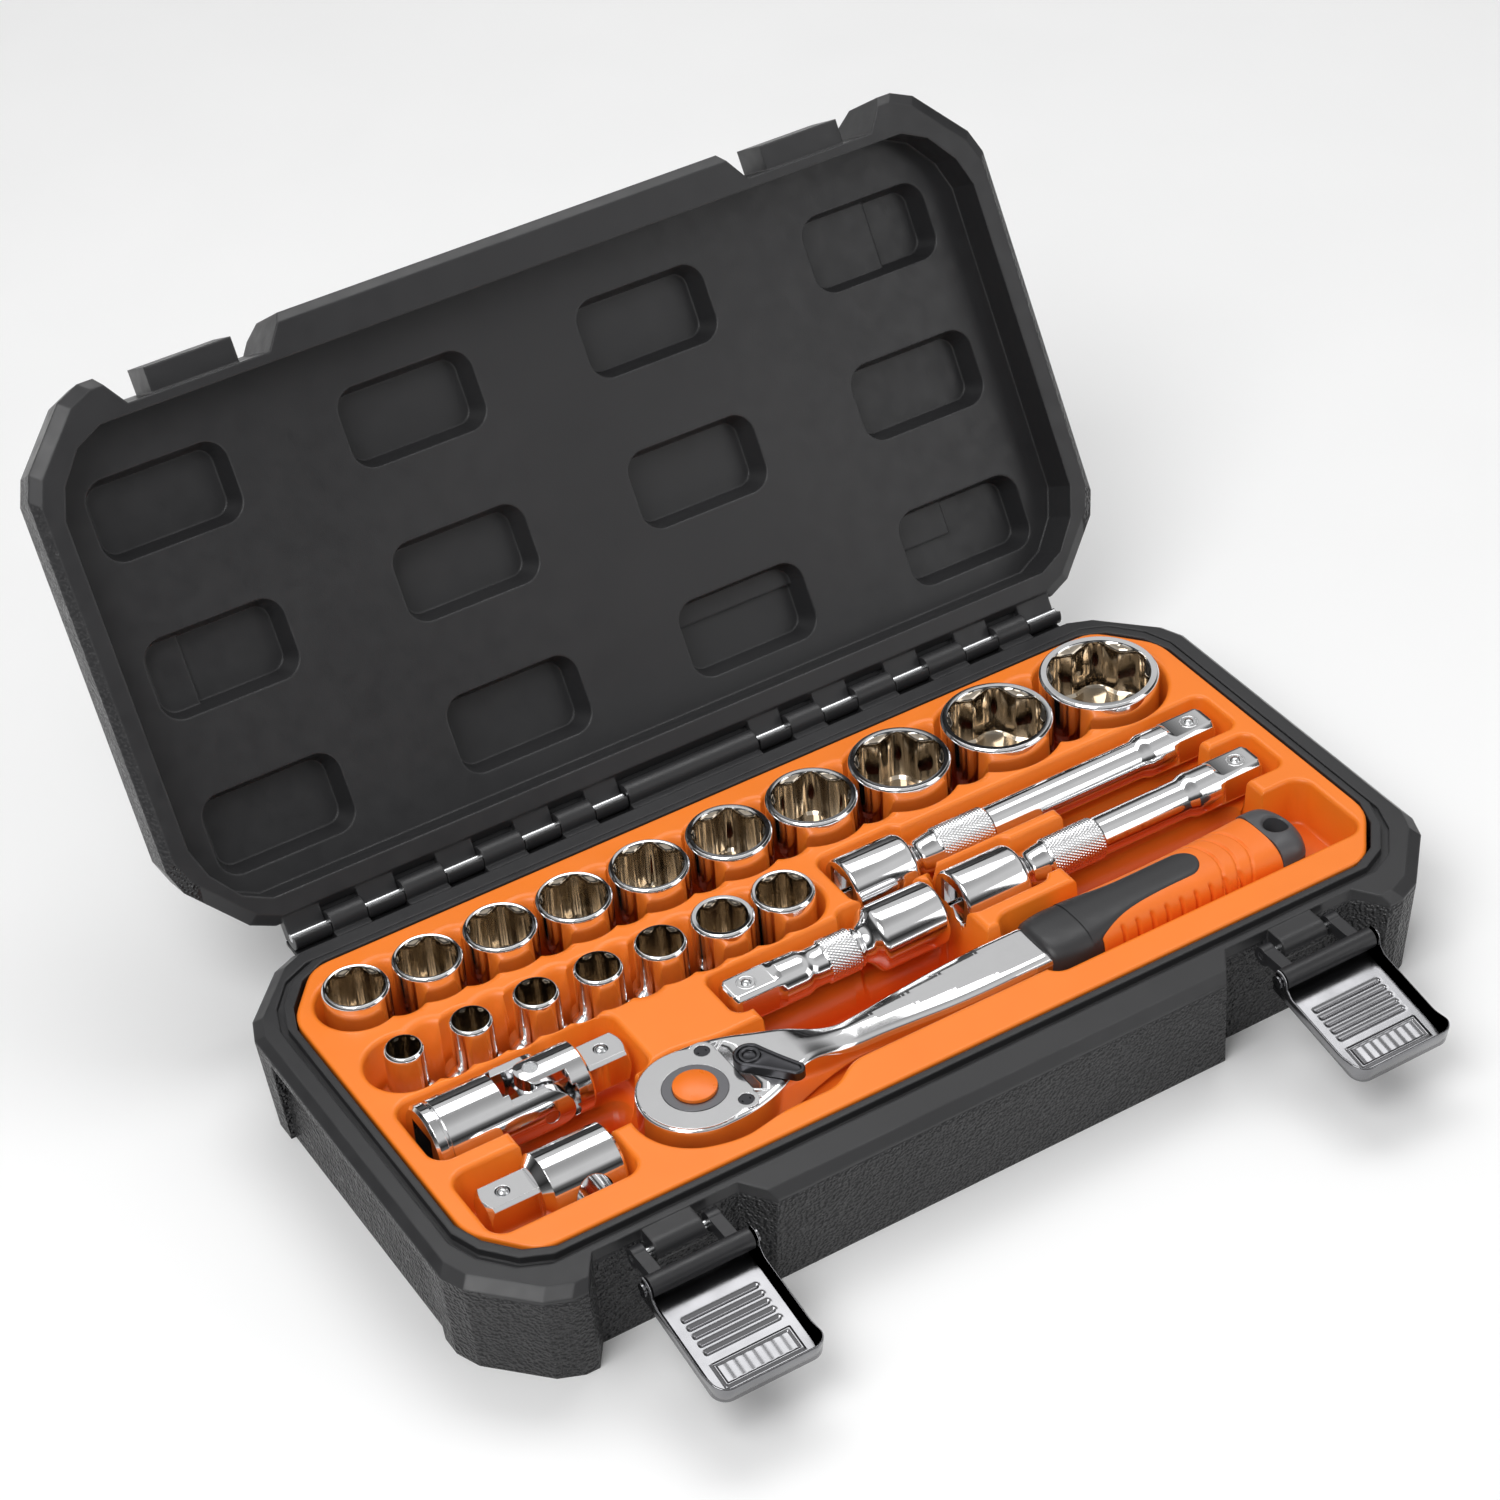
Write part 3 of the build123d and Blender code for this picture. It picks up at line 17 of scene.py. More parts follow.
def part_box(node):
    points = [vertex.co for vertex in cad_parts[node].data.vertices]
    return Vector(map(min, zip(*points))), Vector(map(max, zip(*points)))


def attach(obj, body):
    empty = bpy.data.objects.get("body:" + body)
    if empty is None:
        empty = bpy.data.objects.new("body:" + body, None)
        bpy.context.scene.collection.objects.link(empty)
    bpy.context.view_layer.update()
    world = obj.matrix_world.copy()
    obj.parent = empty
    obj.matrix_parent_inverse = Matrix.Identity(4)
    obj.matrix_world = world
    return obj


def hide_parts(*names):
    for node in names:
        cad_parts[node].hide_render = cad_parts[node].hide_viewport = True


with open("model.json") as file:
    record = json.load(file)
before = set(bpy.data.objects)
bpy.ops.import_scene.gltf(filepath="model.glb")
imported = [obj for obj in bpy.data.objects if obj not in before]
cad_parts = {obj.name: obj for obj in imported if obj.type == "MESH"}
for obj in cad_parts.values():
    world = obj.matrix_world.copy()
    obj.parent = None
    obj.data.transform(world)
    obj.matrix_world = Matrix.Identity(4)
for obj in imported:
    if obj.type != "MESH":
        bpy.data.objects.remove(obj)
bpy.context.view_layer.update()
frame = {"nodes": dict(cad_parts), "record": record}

MM = 0.001
TURN = 2 * math.pi

# --- Driving sizes, in millimetres ---
SEGMENTS = 96
DRIVE_HOLE_HALF = 6.45
DRIVE_HOLE_CORNER = 8.6
DRIVE_HOLE_DEPTH = 15.5
DRIVE_HALF = 6.35
DRIVE_LENGTH = 16.0
TRAY_EDGE_ROUND = 1.0
TRAY_SOFT = 4.0
ROW_SPLIT = 25.0
ROW_GAP_SHARE = 0.33
WELL_FLOOR = 10.0
HEAD_POCKET = (-85.8, -49.3)
SOCKET_CLEARANCE = 1.0
BARS = {"extension_150": 1, "extension_125": 1, "extension_75": -1}
BAR_SEGMENTS = 240
BAR_FEMALE_R = 11.5
BAR_SHAFT_R = 7.0
BAR_COLLAR_R = 8.1
KNURL_R = 7.7
KNURL_PITCH = 1.15
KNURL_DEPTH = 0.42
KNURL_STEP = 0.32


# --- Small helpers ---
def node_box(*names):
    """Lowest and highest corner of some CAD nodes together, in millimetres."""
    boxes = [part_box(name) for name in names]
    low = np.min([np.array(b[0]) for b in boxes], axis=0) / MM
    high = np.max([np.array(b[1]) for b in boxes], axis=0) / MM
    return low, high


def body_of(node):
    """The CAD body that a node belongs to."""
    bodies = frame["record"]["behaviour"]["bodies"]
    return next(body for body, members in bodies.items() if node in members)


def slot_of(node):
    """The record's material slot of a node."""
    return next(row["material_slot"] for row in frame["record"]["subparts"] if row["node"] == node)


def placed(name, data):
    """Object in the scene."""
    item = bpy.data.objects.new(name, data)
    bpy.context.scene.collection.objects.link(item)
    return item


def aim(item, rotation):
    """Turn an object by a quaternion."""
    item.rotation_mode = "QUATERNION"
    item.rotation_quaternion = rotation


def make_object(name, vertices, faces, material, smooth_deg=35):
    """Mesh object from millimetre vertices, smooth except at edges sharper than smooth_deg."""
    mesh = bpy.data.meshes.new(name)
    mesh.from_pydata([tuple(v) for v in np.asarray(vertices) * MM], [], faces)
    mesh.validate()
    mesh.shade_smooth()
    mesh.set_sharp_from_angle(angle=math.radians(smooth_deg))
    mesh.materials.append(material)
    return placed(name, mesh)


def stand_for(piece, *nodes):
    """Let a detailed piece replace CAD nodes of one body."""
    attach(piece, body_of(nodes[0]))
    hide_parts(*nodes)


def loft(rings, closed=False):
    """Vertices and faces of a skin over rings with equal point counts.

    An open skin is closed at both ends by a fan; a closed one joins its last ring to its first.
    """
    count = len(rings[0])
    vertices = [point for ring in rings for point in ring]
    faces = []
    pairs = len(rings) if closed else len(rings) - 1
    for row in range(pairs):
        a = row * count
        b = ((row + 1) % len(rings)) * count
        for k in range(count):
            n = (k + 1) % count
            faces.append((a + k, a + n, b + n, b + k))
    if not closed:
        for row, flip in ((0, True), (len(rings) - 1, False)):
            centre = len(vertices)
            vertices.append(np.mean(rings[row], axis=0))
            start = row * count
            for k in range(count):
                n = (k + 1) % count
                face = (start + k, start + n, centre)
                faces.append(face[::-1] if flip else face)
    return np.array(vertices, float), faces


SOCKETS = sorted(name for name in frame["nodes"] if name.startswith("socket_"))
TRAY_NODES = sorted(name for name in frame["nodes"] if name.startswith("tray_"))
tray_low, tray_high = node_box(*TRAY_NODES)
TRAY_TOP = tray_high[2]
HEAD_X, HEAD_Y, _ = np.mean(node_box("release_button"), axis=0)
HEAD_TOP = node_box("head_cover")[1][2]
HEAD_BOTTOM = node_box("ratchet_body")[0][2]


def bar_nodes(bar):
    """CAD nodes of one extension bar: a longer one has its female end in a node of its own."""
    return [name for name in (bar, bar + "_end") if name in frame["nodes"]]


def smooth_step(x, x0, x1):
    """Zero before x0, one after x1, and a smooth rise between."""
    t = np.clip((x - x0) / (x1 - x0), 0, 1)
    return t * t * (3 - 2 * t)


# --- Polar sections: a radius at each of SEGMENTS angles ---
ANGLES = np.arange(SEGMENTS) * TURN / SEGMENTS


def circle(radius):
    """Round section."""
    return np.full(SEGMENTS, float(radius))


def square(half, corner):
    """Square section with its corners cut to a circle of radius corner."""
    return np.minimum(half / np.maximum(abs(np.cos(ANGLES)), abs(np.sin(ANGLES))), corner)


def lobed(size):
    """Bore of a six-point socket: hollow flats that run into six round corners."""
    wave = np.cos(6 * ANGLES)
    return size * (0.498 + 0.08 * (0.5 + 0.5 * wave) ** 0.8)


def polar_ring(station, radii):
    """Ring of points around the Z axis."""
    along = np.full(SEGMENTS, float(station))
    return np.stack([radii * np.cos(ANGLES), radii * np.sin(ANGLES), along], axis=1)


def rounded_corner(s0, r0, s1, r1, s2, r2, cut, steps=4):
    """Points that round the corner (s1, r1) of a profile, starting and ending cut away from it."""
    corner = np.array([s1, r1], float)
    before = np.array([s0, r0], float) - corner
    after = np.array([s2, r2], float) - corner
    start = corner + before / np.linalg.norm(before) * cut
    end = corner + after / np.linalg.norm(after) * cut
    points = []
    for i in range(steps + 1):
        t = i / steps
        points.append((1 - t) ** 2 * start + 2 * t * (1 - t) * corner + t**2 * end)
    return points


def soften(profile, cut):
    """Profile of (station, radius) points with each inner corner rounded by cut."""
    points = [np.array(profile[0], float)]
    for before, here, after in zip(profile, profile[1:], profile[2:]):
        gap = min(math.dist(before, here), math.dist(here, after))
        points += rounded_corner(*before, *here, *after, min(cut, 0.45 * gap))
    points.append(np.array(profile[-1], float))
    return points


# --- Skins with their own normals ---
class Shell:
    """Vertices, normals and faces gathered from several patches into one mesh."""

    def __init__(self):
        self.vertices = []
        self.normals = []
        self.faces = []
        self.total = 0

    def add(self, vertices, normals, faces):
        """Add a patch."""
        self.vertices.append(np.asarray(vertices, float))
        self.normals.append(np.asarray(normals, float))
        self.faces += [tuple(int(k) + self.total for k in face) for face in faces]
        self.total += len(vertices)

    def band(self, levels):
        """Wall through closed rings of (points, heights, tilt of the normals in degrees), downwards."""
        count = len(levels[0][0])
        vertices, normals, faces = [], [], []
        for points, height, tilt in levels:
            along = np.roll(points, -1, axis=0) - np.roll(points, 1, axis=0)
            out = np.column_stack([along[:, 1], -along[:, 0]]) / np.hypot(*along.T)[:, None]
            angle = math.radians(tilt)
            vertices.append(np.column_stack([points, np.broadcast_to(height, count)]))
            normals.append(np.column_stack([out * math.cos(angle), np.full(count, math.sin(angle))]))
        for row in range(len(levels) - 1):
            a, b = row * count, (row + 1) * count
            faces += [(a + k, b + k, b + (k + 1) % count, a + (k + 1) % count) for k in range(count)]
        self.add(np.concatenate(vertices), np.concatenate(normals), faces)

    def tube(self, points, high, low):
        """Upright wall through one closed ring of points."""
        self.band([(points, high, 0), (points, low, 0)])

    def build(self, name, material, place=Matrix()):
        """Make the object; place moves its vertices and normals."""
        vertices, normals = np.concatenate(self.vertices), np.concatenate(self.normals)
        turn = np.array(place.to_3x3())
        vertices = vertices @ turn.T + np.array(place.translation)
        normals = normals @ turn.T
        piece = make_object(name, vertices, self.faces, material, 180)
        piece.data.normals_split_custom_set_from_vertices([tuple(n) for n in normals])
        return piece


def triangulate(rims, lines, extras, holes=()):
    """Triangles between closed rims, with level lines as edges; returns the plan and the faces."""
    ends = np.round(lines.reshape(-1, 2), 4)
    points, index = np.unique(ends, axis=0, return_inverse=True)
    start = sum(len(rim) for rim in rims)
    edges = [tuple(pair) for pair in (index.reshape(-1, 2) + start) if pair[0] != pair[1]]
    first = 0
    for rim in rims:
        count = len(rim)
        edges += [(first + k, first + (k + 1) % count) for k in range(count)]
        first += count
    coordinates = [Vector(p) for p in np.concatenate([*rims, points, extras])]
    flat, _, faces, *_ = delaunay_2d_cdt(coordinates, edges, [], 1, 1e-4)
    plan = np.array([(v.x, v.y) for v in flat])
    kept = []
    for face in faces:
        middle = plan[list(face)].mean(axis=0)
        if all(math.dist(middle, (cx, cy)) > radius for cx, cy, radius in holes):
            kept.append(tuple(face))
    return plan, kept


def outline_distance(ring, x, y):
    """Signed distance to a closed polygon, negative inside."""
    a, b = ring, np.roll(ring, -1, axis=0)
    p = np.stack([np.ravel(x), np.ravel(y)], axis=1)[:, None, :]
    edge = (b - a)[None]
    t = np.clip(((p - a) * edge).sum(axis=2) / np.maximum((edge**2).sum(axis=2), 1e-9), 0, 1)
    gap = np.hypot(*np.moveaxis(p - a - t[..., None] * edge, 2, 0)).min(axis=1)
    above = (a[None, :, 1] > p[..., 1]) != (b[None, :, 1] > p[..., 1])
    rise = np.where(edge[..., 1] == 0, 1e-12, edge[..., 1])
    crossing = p[..., 0] < a[None, :, 0] + (p[..., 1] - a[None, :, 1]) * edge[..., 0] / rise
    inside = (above & crossing).sum(axis=1) % 2 == 1
    return np.where(inside, -gap, gap).reshape(np.shape(x))


def surface_normals(height, x, y, sign=1.0, step=0.03):
    """Normals of a height function by differences; sign -1 turns them downwards."""
    gx = (height(x + step, y) - height(x - step, y)) / (2 * step)
    gy = (height(x, y + step) - height(x, y - step)) / (2 * step)
    normal = np.stack([-gx, -gy, np.ones_like(gx)], axis=-1) * sign
    return normal / np.linalg.norm(normal, axis=-1, keepdims=True)


def round_over(d, radius):
    """Drop of a rounded edge at signed distance d from the outline."""
    inward = np.clip(-d, 0.02, radius)
    return radius - np.sqrt(np.maximum(radius**2 - (radius - inward) ** 2, 0.0))


def ring_xy(cx, cy, radius, count=96, turn=1):
    """Circle of points; turn -1 runs it the other way round, as a hole needs."""
    angle = turn * np.arange(count) * TURN / count
    return np.column_stack([cx + radius * np.cos(angle), cy + radius * np.sin(angle)])


def ray_rim(field, middle, count):
    """Points where rays from the middle leave the region in which a field is negative, by halving."""
    rim = []
    for turn in np.linspace(0, TURN, count, endpoint=False):
        heading = np.array([math.cos(turn), math.sin(turn)])
        near, far = 0.0, 30.0
        for _ in range(40):
            reach = 0.5 * (near + far)
            if field(*(middle + reach * heading)) < 0:
                near = reach
            else:
                far = reach
        rim.append(middle + near * heading)
    return np.array(rim)


def contour(field, level, xs, ys):
    """Segments of a level line of a gridded field, as an array of (x0, y0, x1, y1)."""
    f = field - level
    f = np.where(f == 0, 1e-9, f)
    a, b, c, d = f[:-1, :-1], f[:-1, 1:], f[1:, 1:], f[1:, :-1]
    x0, x1 = xs[None, :-1], xs[None, 1:]
    y0, y1 = ys[:-1, None], ys[1:, None]
    ones = np.ones_like(a)
    crossings = (
        (a * b < 0, x0 + (x1 - x0) * a / (a - b + 1e-30), y0 * ones),
        (b * c < 0, x1 * ones, y0 + (y1 - y0) * b / (b - c + 1e-30)),
        (c * d < 0, x1 + (x0 - x1) * c / (c - d + 1e-30), y1 * ones),
        (d * a < 0, x0 * ones, y1 + (y0 - y1) * d / (d - a + 1e-30)),
    )
    through = sum(crossed.astype(int) for crossed, _, _ in crossings) == 2
    segments = [np.zeros((0, 4))]
    for (crossed, x_in, y_in), (left, x_out, y_out) in combinations(crossings, 2):
        both = crossed & left & through
        ends = [(value * ones)[both] for value in (x_in, y_in, x_out, y_out)]
        segments.append(np.stack(ends, axis=1))
    return np.concatenate(segments)


def level_lines(field_of, levels, x0, x1, y0, y1, step):
    """Level lines of a function over a rectangle."""
    xs = np.arange(x0, x1 + step, step)
    ys = np.arange(y0, y1 + step, step)
    field = field_of(*np.meshgrid(xs, ys))
    return np.concatenate([contour(field, level, xs, ys) for level in levels])


def chosen_lines(test, groups):
    """The segments of some groups of level lines whose middles pass a test."""
    lines = np.concatenate(groups)
    x, y = ((lines[:, :2] + lines[:, 2:]) / 2).T
    return lines[test(x, y)]


def carved(shell, rim, holes, lines, extras, top, bottom):
    """Top and bottom skins of a plate between its rim and round holes."""
    circles = [ring_xy(*hole, turn=-1) for hole in holes]
    plan, faces = triangulate([rim, *circles], lines, extras, holes)
    x, y = plan.T
    shell.add(np.column_stack([plan, top(x, y)]), surface_normals(top, x, y), faces)
    flipped = [face[::-1] for face in faces]
    shell.add(np.column_stack([plan, bottom(x, y)]), surface_normals(bottom, x, y, -1.0), flipped)


# --- Materials ---
def new_node(tree, kind, output, inputs, **settings):
    """Output of a new node; an input is a constant or another node's output, and None is left alone."""
    node = tree.nodes.new("ShaderNode" + kind)
    for name, value in settings.items():
        setattr(node, name, value)
    for name, value in inputs.items():
        if isinstance(value, bpy.types.NodeSocket):
            tree.links.new(value, node.inputs[name])
        elif value is not None:
            node.inputs[name].default_value = value
    return node.outputs[output]


class Surface:
    """A node material under construction."""

    def __init__(self, name):
        self.material = bpy.data.materials.new(name)
        self.material.use_nodes = True
        self.shader = self.material.node_tree.nodes["Principled BSDF"]
        self.coordinates = self.node("TexCoord", "Object", {})
        self.normal = None

    def node(self, kind, output, inputs, **settings):
        """Output of a new node of this material."""
        return new_node(self.material.node_tree, kind, output, inputs, **settings)

    def noise(self, scale, detail=3.0):
        """Noise over the object; scale counts features per metre."""
        inputs = {"Vector": self.coordinates, "Scale": scale, "Detail": detail, "Roughness": 0.55}
        return self.node("TexNoise", "Fac", inputs)

    def cells(self, scale):
        """Distance to scattered cell centres, for a stippled grain."""
        inputs = {"Vector": self.coordinates, "Scale": scale}
        return self.node("TexVoronoi", "Distance", inputs, feature="SMOOTH_F1")

    def spread(self, value, low, high, from_low=0.3, from_high=0.7):
        """Map a texture value to a range."""
        inputs = {"Value": value, "From Min": from_low, "From Max": from_high, "To Min": low, "To Max": high}
        return self.node("MapRange", "Result", inputs)

    def blend(self, factor, first, second):
        """Colour between two others: a Mix node's inputs 6 and 7 and its output 2 are the colours."""
        return self.node("Mix", 2, {0: factor, 6: first, 7: second}, data_type="RGBA")

    def component(self, vector, axis):
        """The X, Y or Z part of a vector."""
        return self.node("SeparateXYZ", axis, {0: vector})

    def result(self, operation, *values):
        """Outcome of a maths operation on one or two values."""
        return self.node("Math", "Value", dict(enumerate(values)), operation=operation)

    def times(self, first, second):
        """Product of two values."""
        return self.result("MULTIPLY", first, second)

    def round_edges(self, radius_mm):
        """Let edges shade as if they had a small radius."""
        self.normal = self.node("Bevel", "Normal", {"Radius": radius_mm * MM}, samples=4)

    def bump(self, height, depth_mm, strength=1.0):
        """Add a height on top of the normals so far."""
        inputs = {"Distance": depth_mm * MM, "Strength": strength, "Height": height, "Normal": self.normal}
        self.normal = self.node("Bump", "Normal", inputs)

    def edge_wear(self):
        """One along rounded edges and nothing on the faces; needs round_edges first."""
        inputs = {0: self.normal, 1: self.node("NewGeometry", "Normal", {})}
        likeness = self.node("VectorMath", "Value", inputs, operation="DOT_PRODUCT")
        return self.spread(likeness, 1.0, 0.0, 0.88, 0.995)

    def finish(self, colour, roughness):
        """Connect colour, roughness and normal to the shader."""
        for name, value in (("Base Color", colour), ("Roughness", roughness), ("Normal", self.normal)):
            if value is not None:
                self.material.node_tree.links.new(value, self.shader.inputs[name])
        return self.material


def rgba(red, green, blue):
    """Opaque colour."""
    return (red, green, blue, 1.0)


def case_plastic():
    """Black moulded plastic: fine grain, scuffed edges, coarse stipple on the outer walls."""
    s = Surface("case_plastic")
    s.shader.inputs["Specular IOR Level"].default_value = 0.45
    s.round_edges(1.1)
    wear = s.times(s.edge_wear(), s.spread(s.noise(60), 0.1, 0.9))
    grain = s.noise(2600, 2.0)
    stipple = s.cells(900)
    direction = s.node("TexCoord", "Normal", {})
    wall = s.spread(s.result("ABSOLUTE", s.component(direction, "Z")), 1.0, 0.0, 0.25, 0.4)
    from_middle = s.result("ABSOLUTE", s.component(s.coordinates, "X"))
    ends = s.spread(from_middle, 0.0, 1.0, 180 * MM, 182 * MM)
    below_rim = s.spread(s.component(s.coordinates, "Z"), 1.0, 0.0, 34 * MM, 36 * MM)
    outer_wall = s.times(wall, s.result("MAXIMUM", ends, below_rim))
    s.bump(grain, 0.06, 0.5)
    s.bump(s.times(stipple, outer_wall), 2.2)
    colour = s.blend(s.spread(s.noise(9), 0.0, 1.0), rgba(0.022, 0.022, 0.0235), rgba(0.030, 0.030, 0.0315))
    colour = s.blend(wear, colour, rgba(0.075, 0.075, 0.077))
    return s.finish(colour, s.spread(s.noise(140), 0.30, 0.42))


def tray_plastic():
    """Orange formed plastic, with painted shade that darkens it towards the pocket floors."""
    s = Surface("tray_plastic")
    s.shader.inputs["Specular IOR Level"].default_value = 0.5
    # painted shade: the colour darkens with lower height, into the pocket floors and wells
    depth = s.spread(s.component(s.coordinates, "Z"), 1.0, 0.0, 8 * MM, 41 * MM)
    colour = s.blend(s.spread(s.noise(25), 0.0, 1.0), rgba(0.93, 0.215, 0.014), rgba(0.98, 0.235, 0.018))
    colour = s.blend(depth, colour, rgba(0.70, 0.07, 0.006))
    s.bump(s.noise(1500, 2.0), 0.03, 0.5)
    return s.finish(colour, s.spread(s.noise(90), 0.3, 0.42))


def polished(name, tint, rough_low, rough_high, edge=0.35):
    """Plated or polished steel with faint waves and smudges; edge is the radius that sharp edges get."""
    s = Surface(name)
    s.shader.inputs["Metallic"].default_value = 1.0
    if edge:
        s.round_edges(edge)
    smudge = s.noise(70, 4.0)
    s.bump(s.noise(150, 2.0), 0.012, 0.2)
    colour = s.blend(s.spread(smudge, 0.0, 1.0), rgba(*tint), rgba(*(0.93 * c for c in tint)))
    return s.finish(colour, s.spread(smudge, rough_low, rough_high))


def plain_plastic(name, colour, rough_low, rough_high, grain_mm=0.05):
    """Moulded plastic or rubber with a fine grain and slightly worn edges."""
    s = Surface(name)
    s.round_edges(0.5)
    wear = s.times(s.edge_wear(), s.spread(s.noise(120), 0.0, 0.7))
    s.bump(s.noise(1900, 2.0), grain_mm, 0.5)
    base = s.blend(s.spread(s.noise(40), 0.0, 1.0), rgba(*colour), rgba(*(0.9 * c for c in colour)))
    base = s.blend(wear, base, rgba(*(min(1.0, 1.5 * c + 0.03) for c in colour)))
    return s.finish(base, s.spread(s.noise(200), rough_low, rough_high))


STEELS = {
    "chrome": ((0.88, 0.88, 0.89), 0.05, 0.12),
    "turned_chrome": ((0.88, 0.88, 0.89), 0.05, 0.12, 0),
    "satin_chrome": ((0.86, 0.86, 0.87), 0.09, 0.18, 0),
    # darker, brown-tinted bore colour: painted shade inside the socket bores and a painted reflection of the
    # orange tray
    "bore_steel": ((0.56, 0.49, 0.40), 0.08, 0.16, 0),
    "latch_steel": ((0.26, 0.26, 0.27), 0.14, 0.24, 0),
    "cover_steel": ((0.84, 0.84, 0.85), 0.10, 0.18),
    "rod_steel": ((0.66, 0.67, 0.68), 0.16, 0.28),
    "gear_steel": ((0.17, 0.17, 0.18), 0.3, 0.42),
    "black_steel": ((0.06, 0.06, 0.065), 0.3, 0.45),
}
PLASTICS = {
    "link_plastic": ((0.022, 0.022, 0.024), 0.32, 0.45),
    "button_plastic": ((0.95, 0.2, 0.014), 0.25, 0.35),
    "grip_black": ((0.028, 0.028, 0.03), 0.38, 0.5),
    "grip_orange": ((0.95, 0.2, 0.014), 0.42, 0.55, 0.08),
    "cap_grey": ((0.085, 0.085, 0.09), 0.35, 0.48),
}
MATERIALS = {"case_plastic": case_plastic(), "tray_plastic": tray_plastic()}
for name, look in STEELS.items():
    MATERIALS[name] = polished(name, *look)
for name, look in PLASTICS.items():
    MATERIALS[name] = plain_plastic(name, *look)

for name, cad_object in frame["nodes"].items():
    cad_object.data.materials.clear()
    cad_object.data.materials.append(MATERIALS[slot_of(name)])


# --- Sockets ---
def socket_piece(node):
    """Socket turned from a profile: drive end, stepped body, bright rim, lobed bore and square."""
    low, high = node_box(node)
    size = float(node.split("_")[1])
    x, y, _ = (low + high) / 2
    height = high[2] - low[2]
    outer = (high[0] - low[0]) / 2
    bore_rim = size * 0.585
    top_r = outer if size > 14 else min(bore_rim + 0.9, outer)
    drive_r = outer if size <= 16 else max(11.0, 0.84 * outer)
    step = 21.0
    blend = abs(drive_r - top_r) + 0.6
    outline = [
        (0.0, drive_r - 2.4), (0.0, drive_r - 1.1), (1.1, drive_r), (step - blend, drive_r),
        (step + 0.6, top_r), (height - 0.9, top_r), (height, top_r - 0.8), (height, top_r - 1.0),
    ]
    outside = [(station, circle(radius)) for station, radius in soften(outline, 1.2)]
    bore = lobed(size)
    lip = circle(min(bore_rim, top_r - 1.0))
    bore_floor = height * 0.5
    mouth = [(height - 0.15, lip), (height - 0.7, 0.985 * lip)]
    for drop, share in ((1.0, 0.3), (1.5, 0.68), (2.1, 0.93), (2.8, 1.0)):
        mouth.append((height - drop, (1 - share) * 0.98 * lip + share * bore))
    waist = min(0.36 * size, 5.5)
    drive_hole = square(DRIVE_HOLE_HALF, DRIVE_HOLE_CORNER)
    inside = [
        (bore_floor + 1.0, bore), (bore_floor, 0.93 * bore),
        (bore_floor - 0.3, circle(waist + 0.5)), (bore_floor - 1.0, circle(waist)),
        (DRIVE_HOLE_DEPTH + 0.3, circle(waist)), (DRIVE_HOLE_DEPTH, drive_hole), (0.8, drive_hole),
        (0.0, square(DRIVE_HOLE_HALF + 0.7, DRIVE_HOLE_CORNER + 0.7)),
    ]
    vertices, faces = loft([polar_ring(*section) for section in outside + mouth + inside], closed=True)
    piece = make_object("visual_" + node, vertices + [x, y, low[2]], faces, MATERIALS["turned_chrome"], 40)
    # mouth and bore faces take the darker, brown-tinted steel: painted shade and a painted tray reflection
    piece.data.materials.append(MATERIALS["bore_steel"])
    first = (len(outside) + 1) * SEGMENTS
    piece.data.polygons.foreach_set("material_index", [int(k >= first) for k in range(len(faces))])
    stand_for(piece, node)


for name in SOCKETS:
    socket_piece(name)


# --- Tray ---
def disc(x, y, cx, cy, radius):
    """Signed distance to a circle."""
    return np.hypot(x - cx, y - cy) - radius


def slab(x, y, x0, x1, y0, y1, corner):
    """Signed distance to a rectangle with rounded corners."""
    dx = abs(x - (x0 + x1) / 2) - (x1 - x0) / 2 + corner
    dy = abs(y - (y0 + y1) / 2) - (y1 - y0) / 2 + corner
    outside = np.hypot(np.maximum(dx, 0), np.maximum(dy, 0))
    return outside + np.minimum(np.maximum(dx, dy), 0) - corner


def merged(first, second, soft):
    """Union of two signed distances with a soft junction."""
    t = np.clip(0.5 + 0.5 * (second - first) / soft, 0, 1)
    return second + (first - second) * t - soft * t * (1 - t)


class Pocket:
    """A formed pocket: a plan shape, a floor, and a wall that leans outwards and rolls into the land."""

    def __init__(self, floor, run, roll, soft, *shapes):
        self.shapes = shapes
        self.soft = soft
        over_edge = run + roll * np.array([0.0, 0.18, 0.5, 1.0])
        below_land = 0.85 * roll * np.array([1.0, 0.42, 0.12, 0.0])
        self.stations = np.concatenate([[-1.5, -0.9, -0.45, 0.0], over_edge])
        self.heights = np.concatenate([floor + np.array([0.0, 0.15, 0.5, 1.5]), TRAY_TOP - below_land])
        slopes = np.arctan2(np.diff(self.heights), np.diff(self.stations))
        self.tilts = np.concatenate([[0.0], (slopes[:-1] + slopes[1:]) / 2, [0.0]])

    def distance(self, x, y):
        """Signed distance to the pocket's outline at its floor."""
        total = None
        for shape, *sizes in self.shapes:
            d = shape(x, y, *sizes)
            total = d if total is None else merged(total, d, self.soft)
        return total


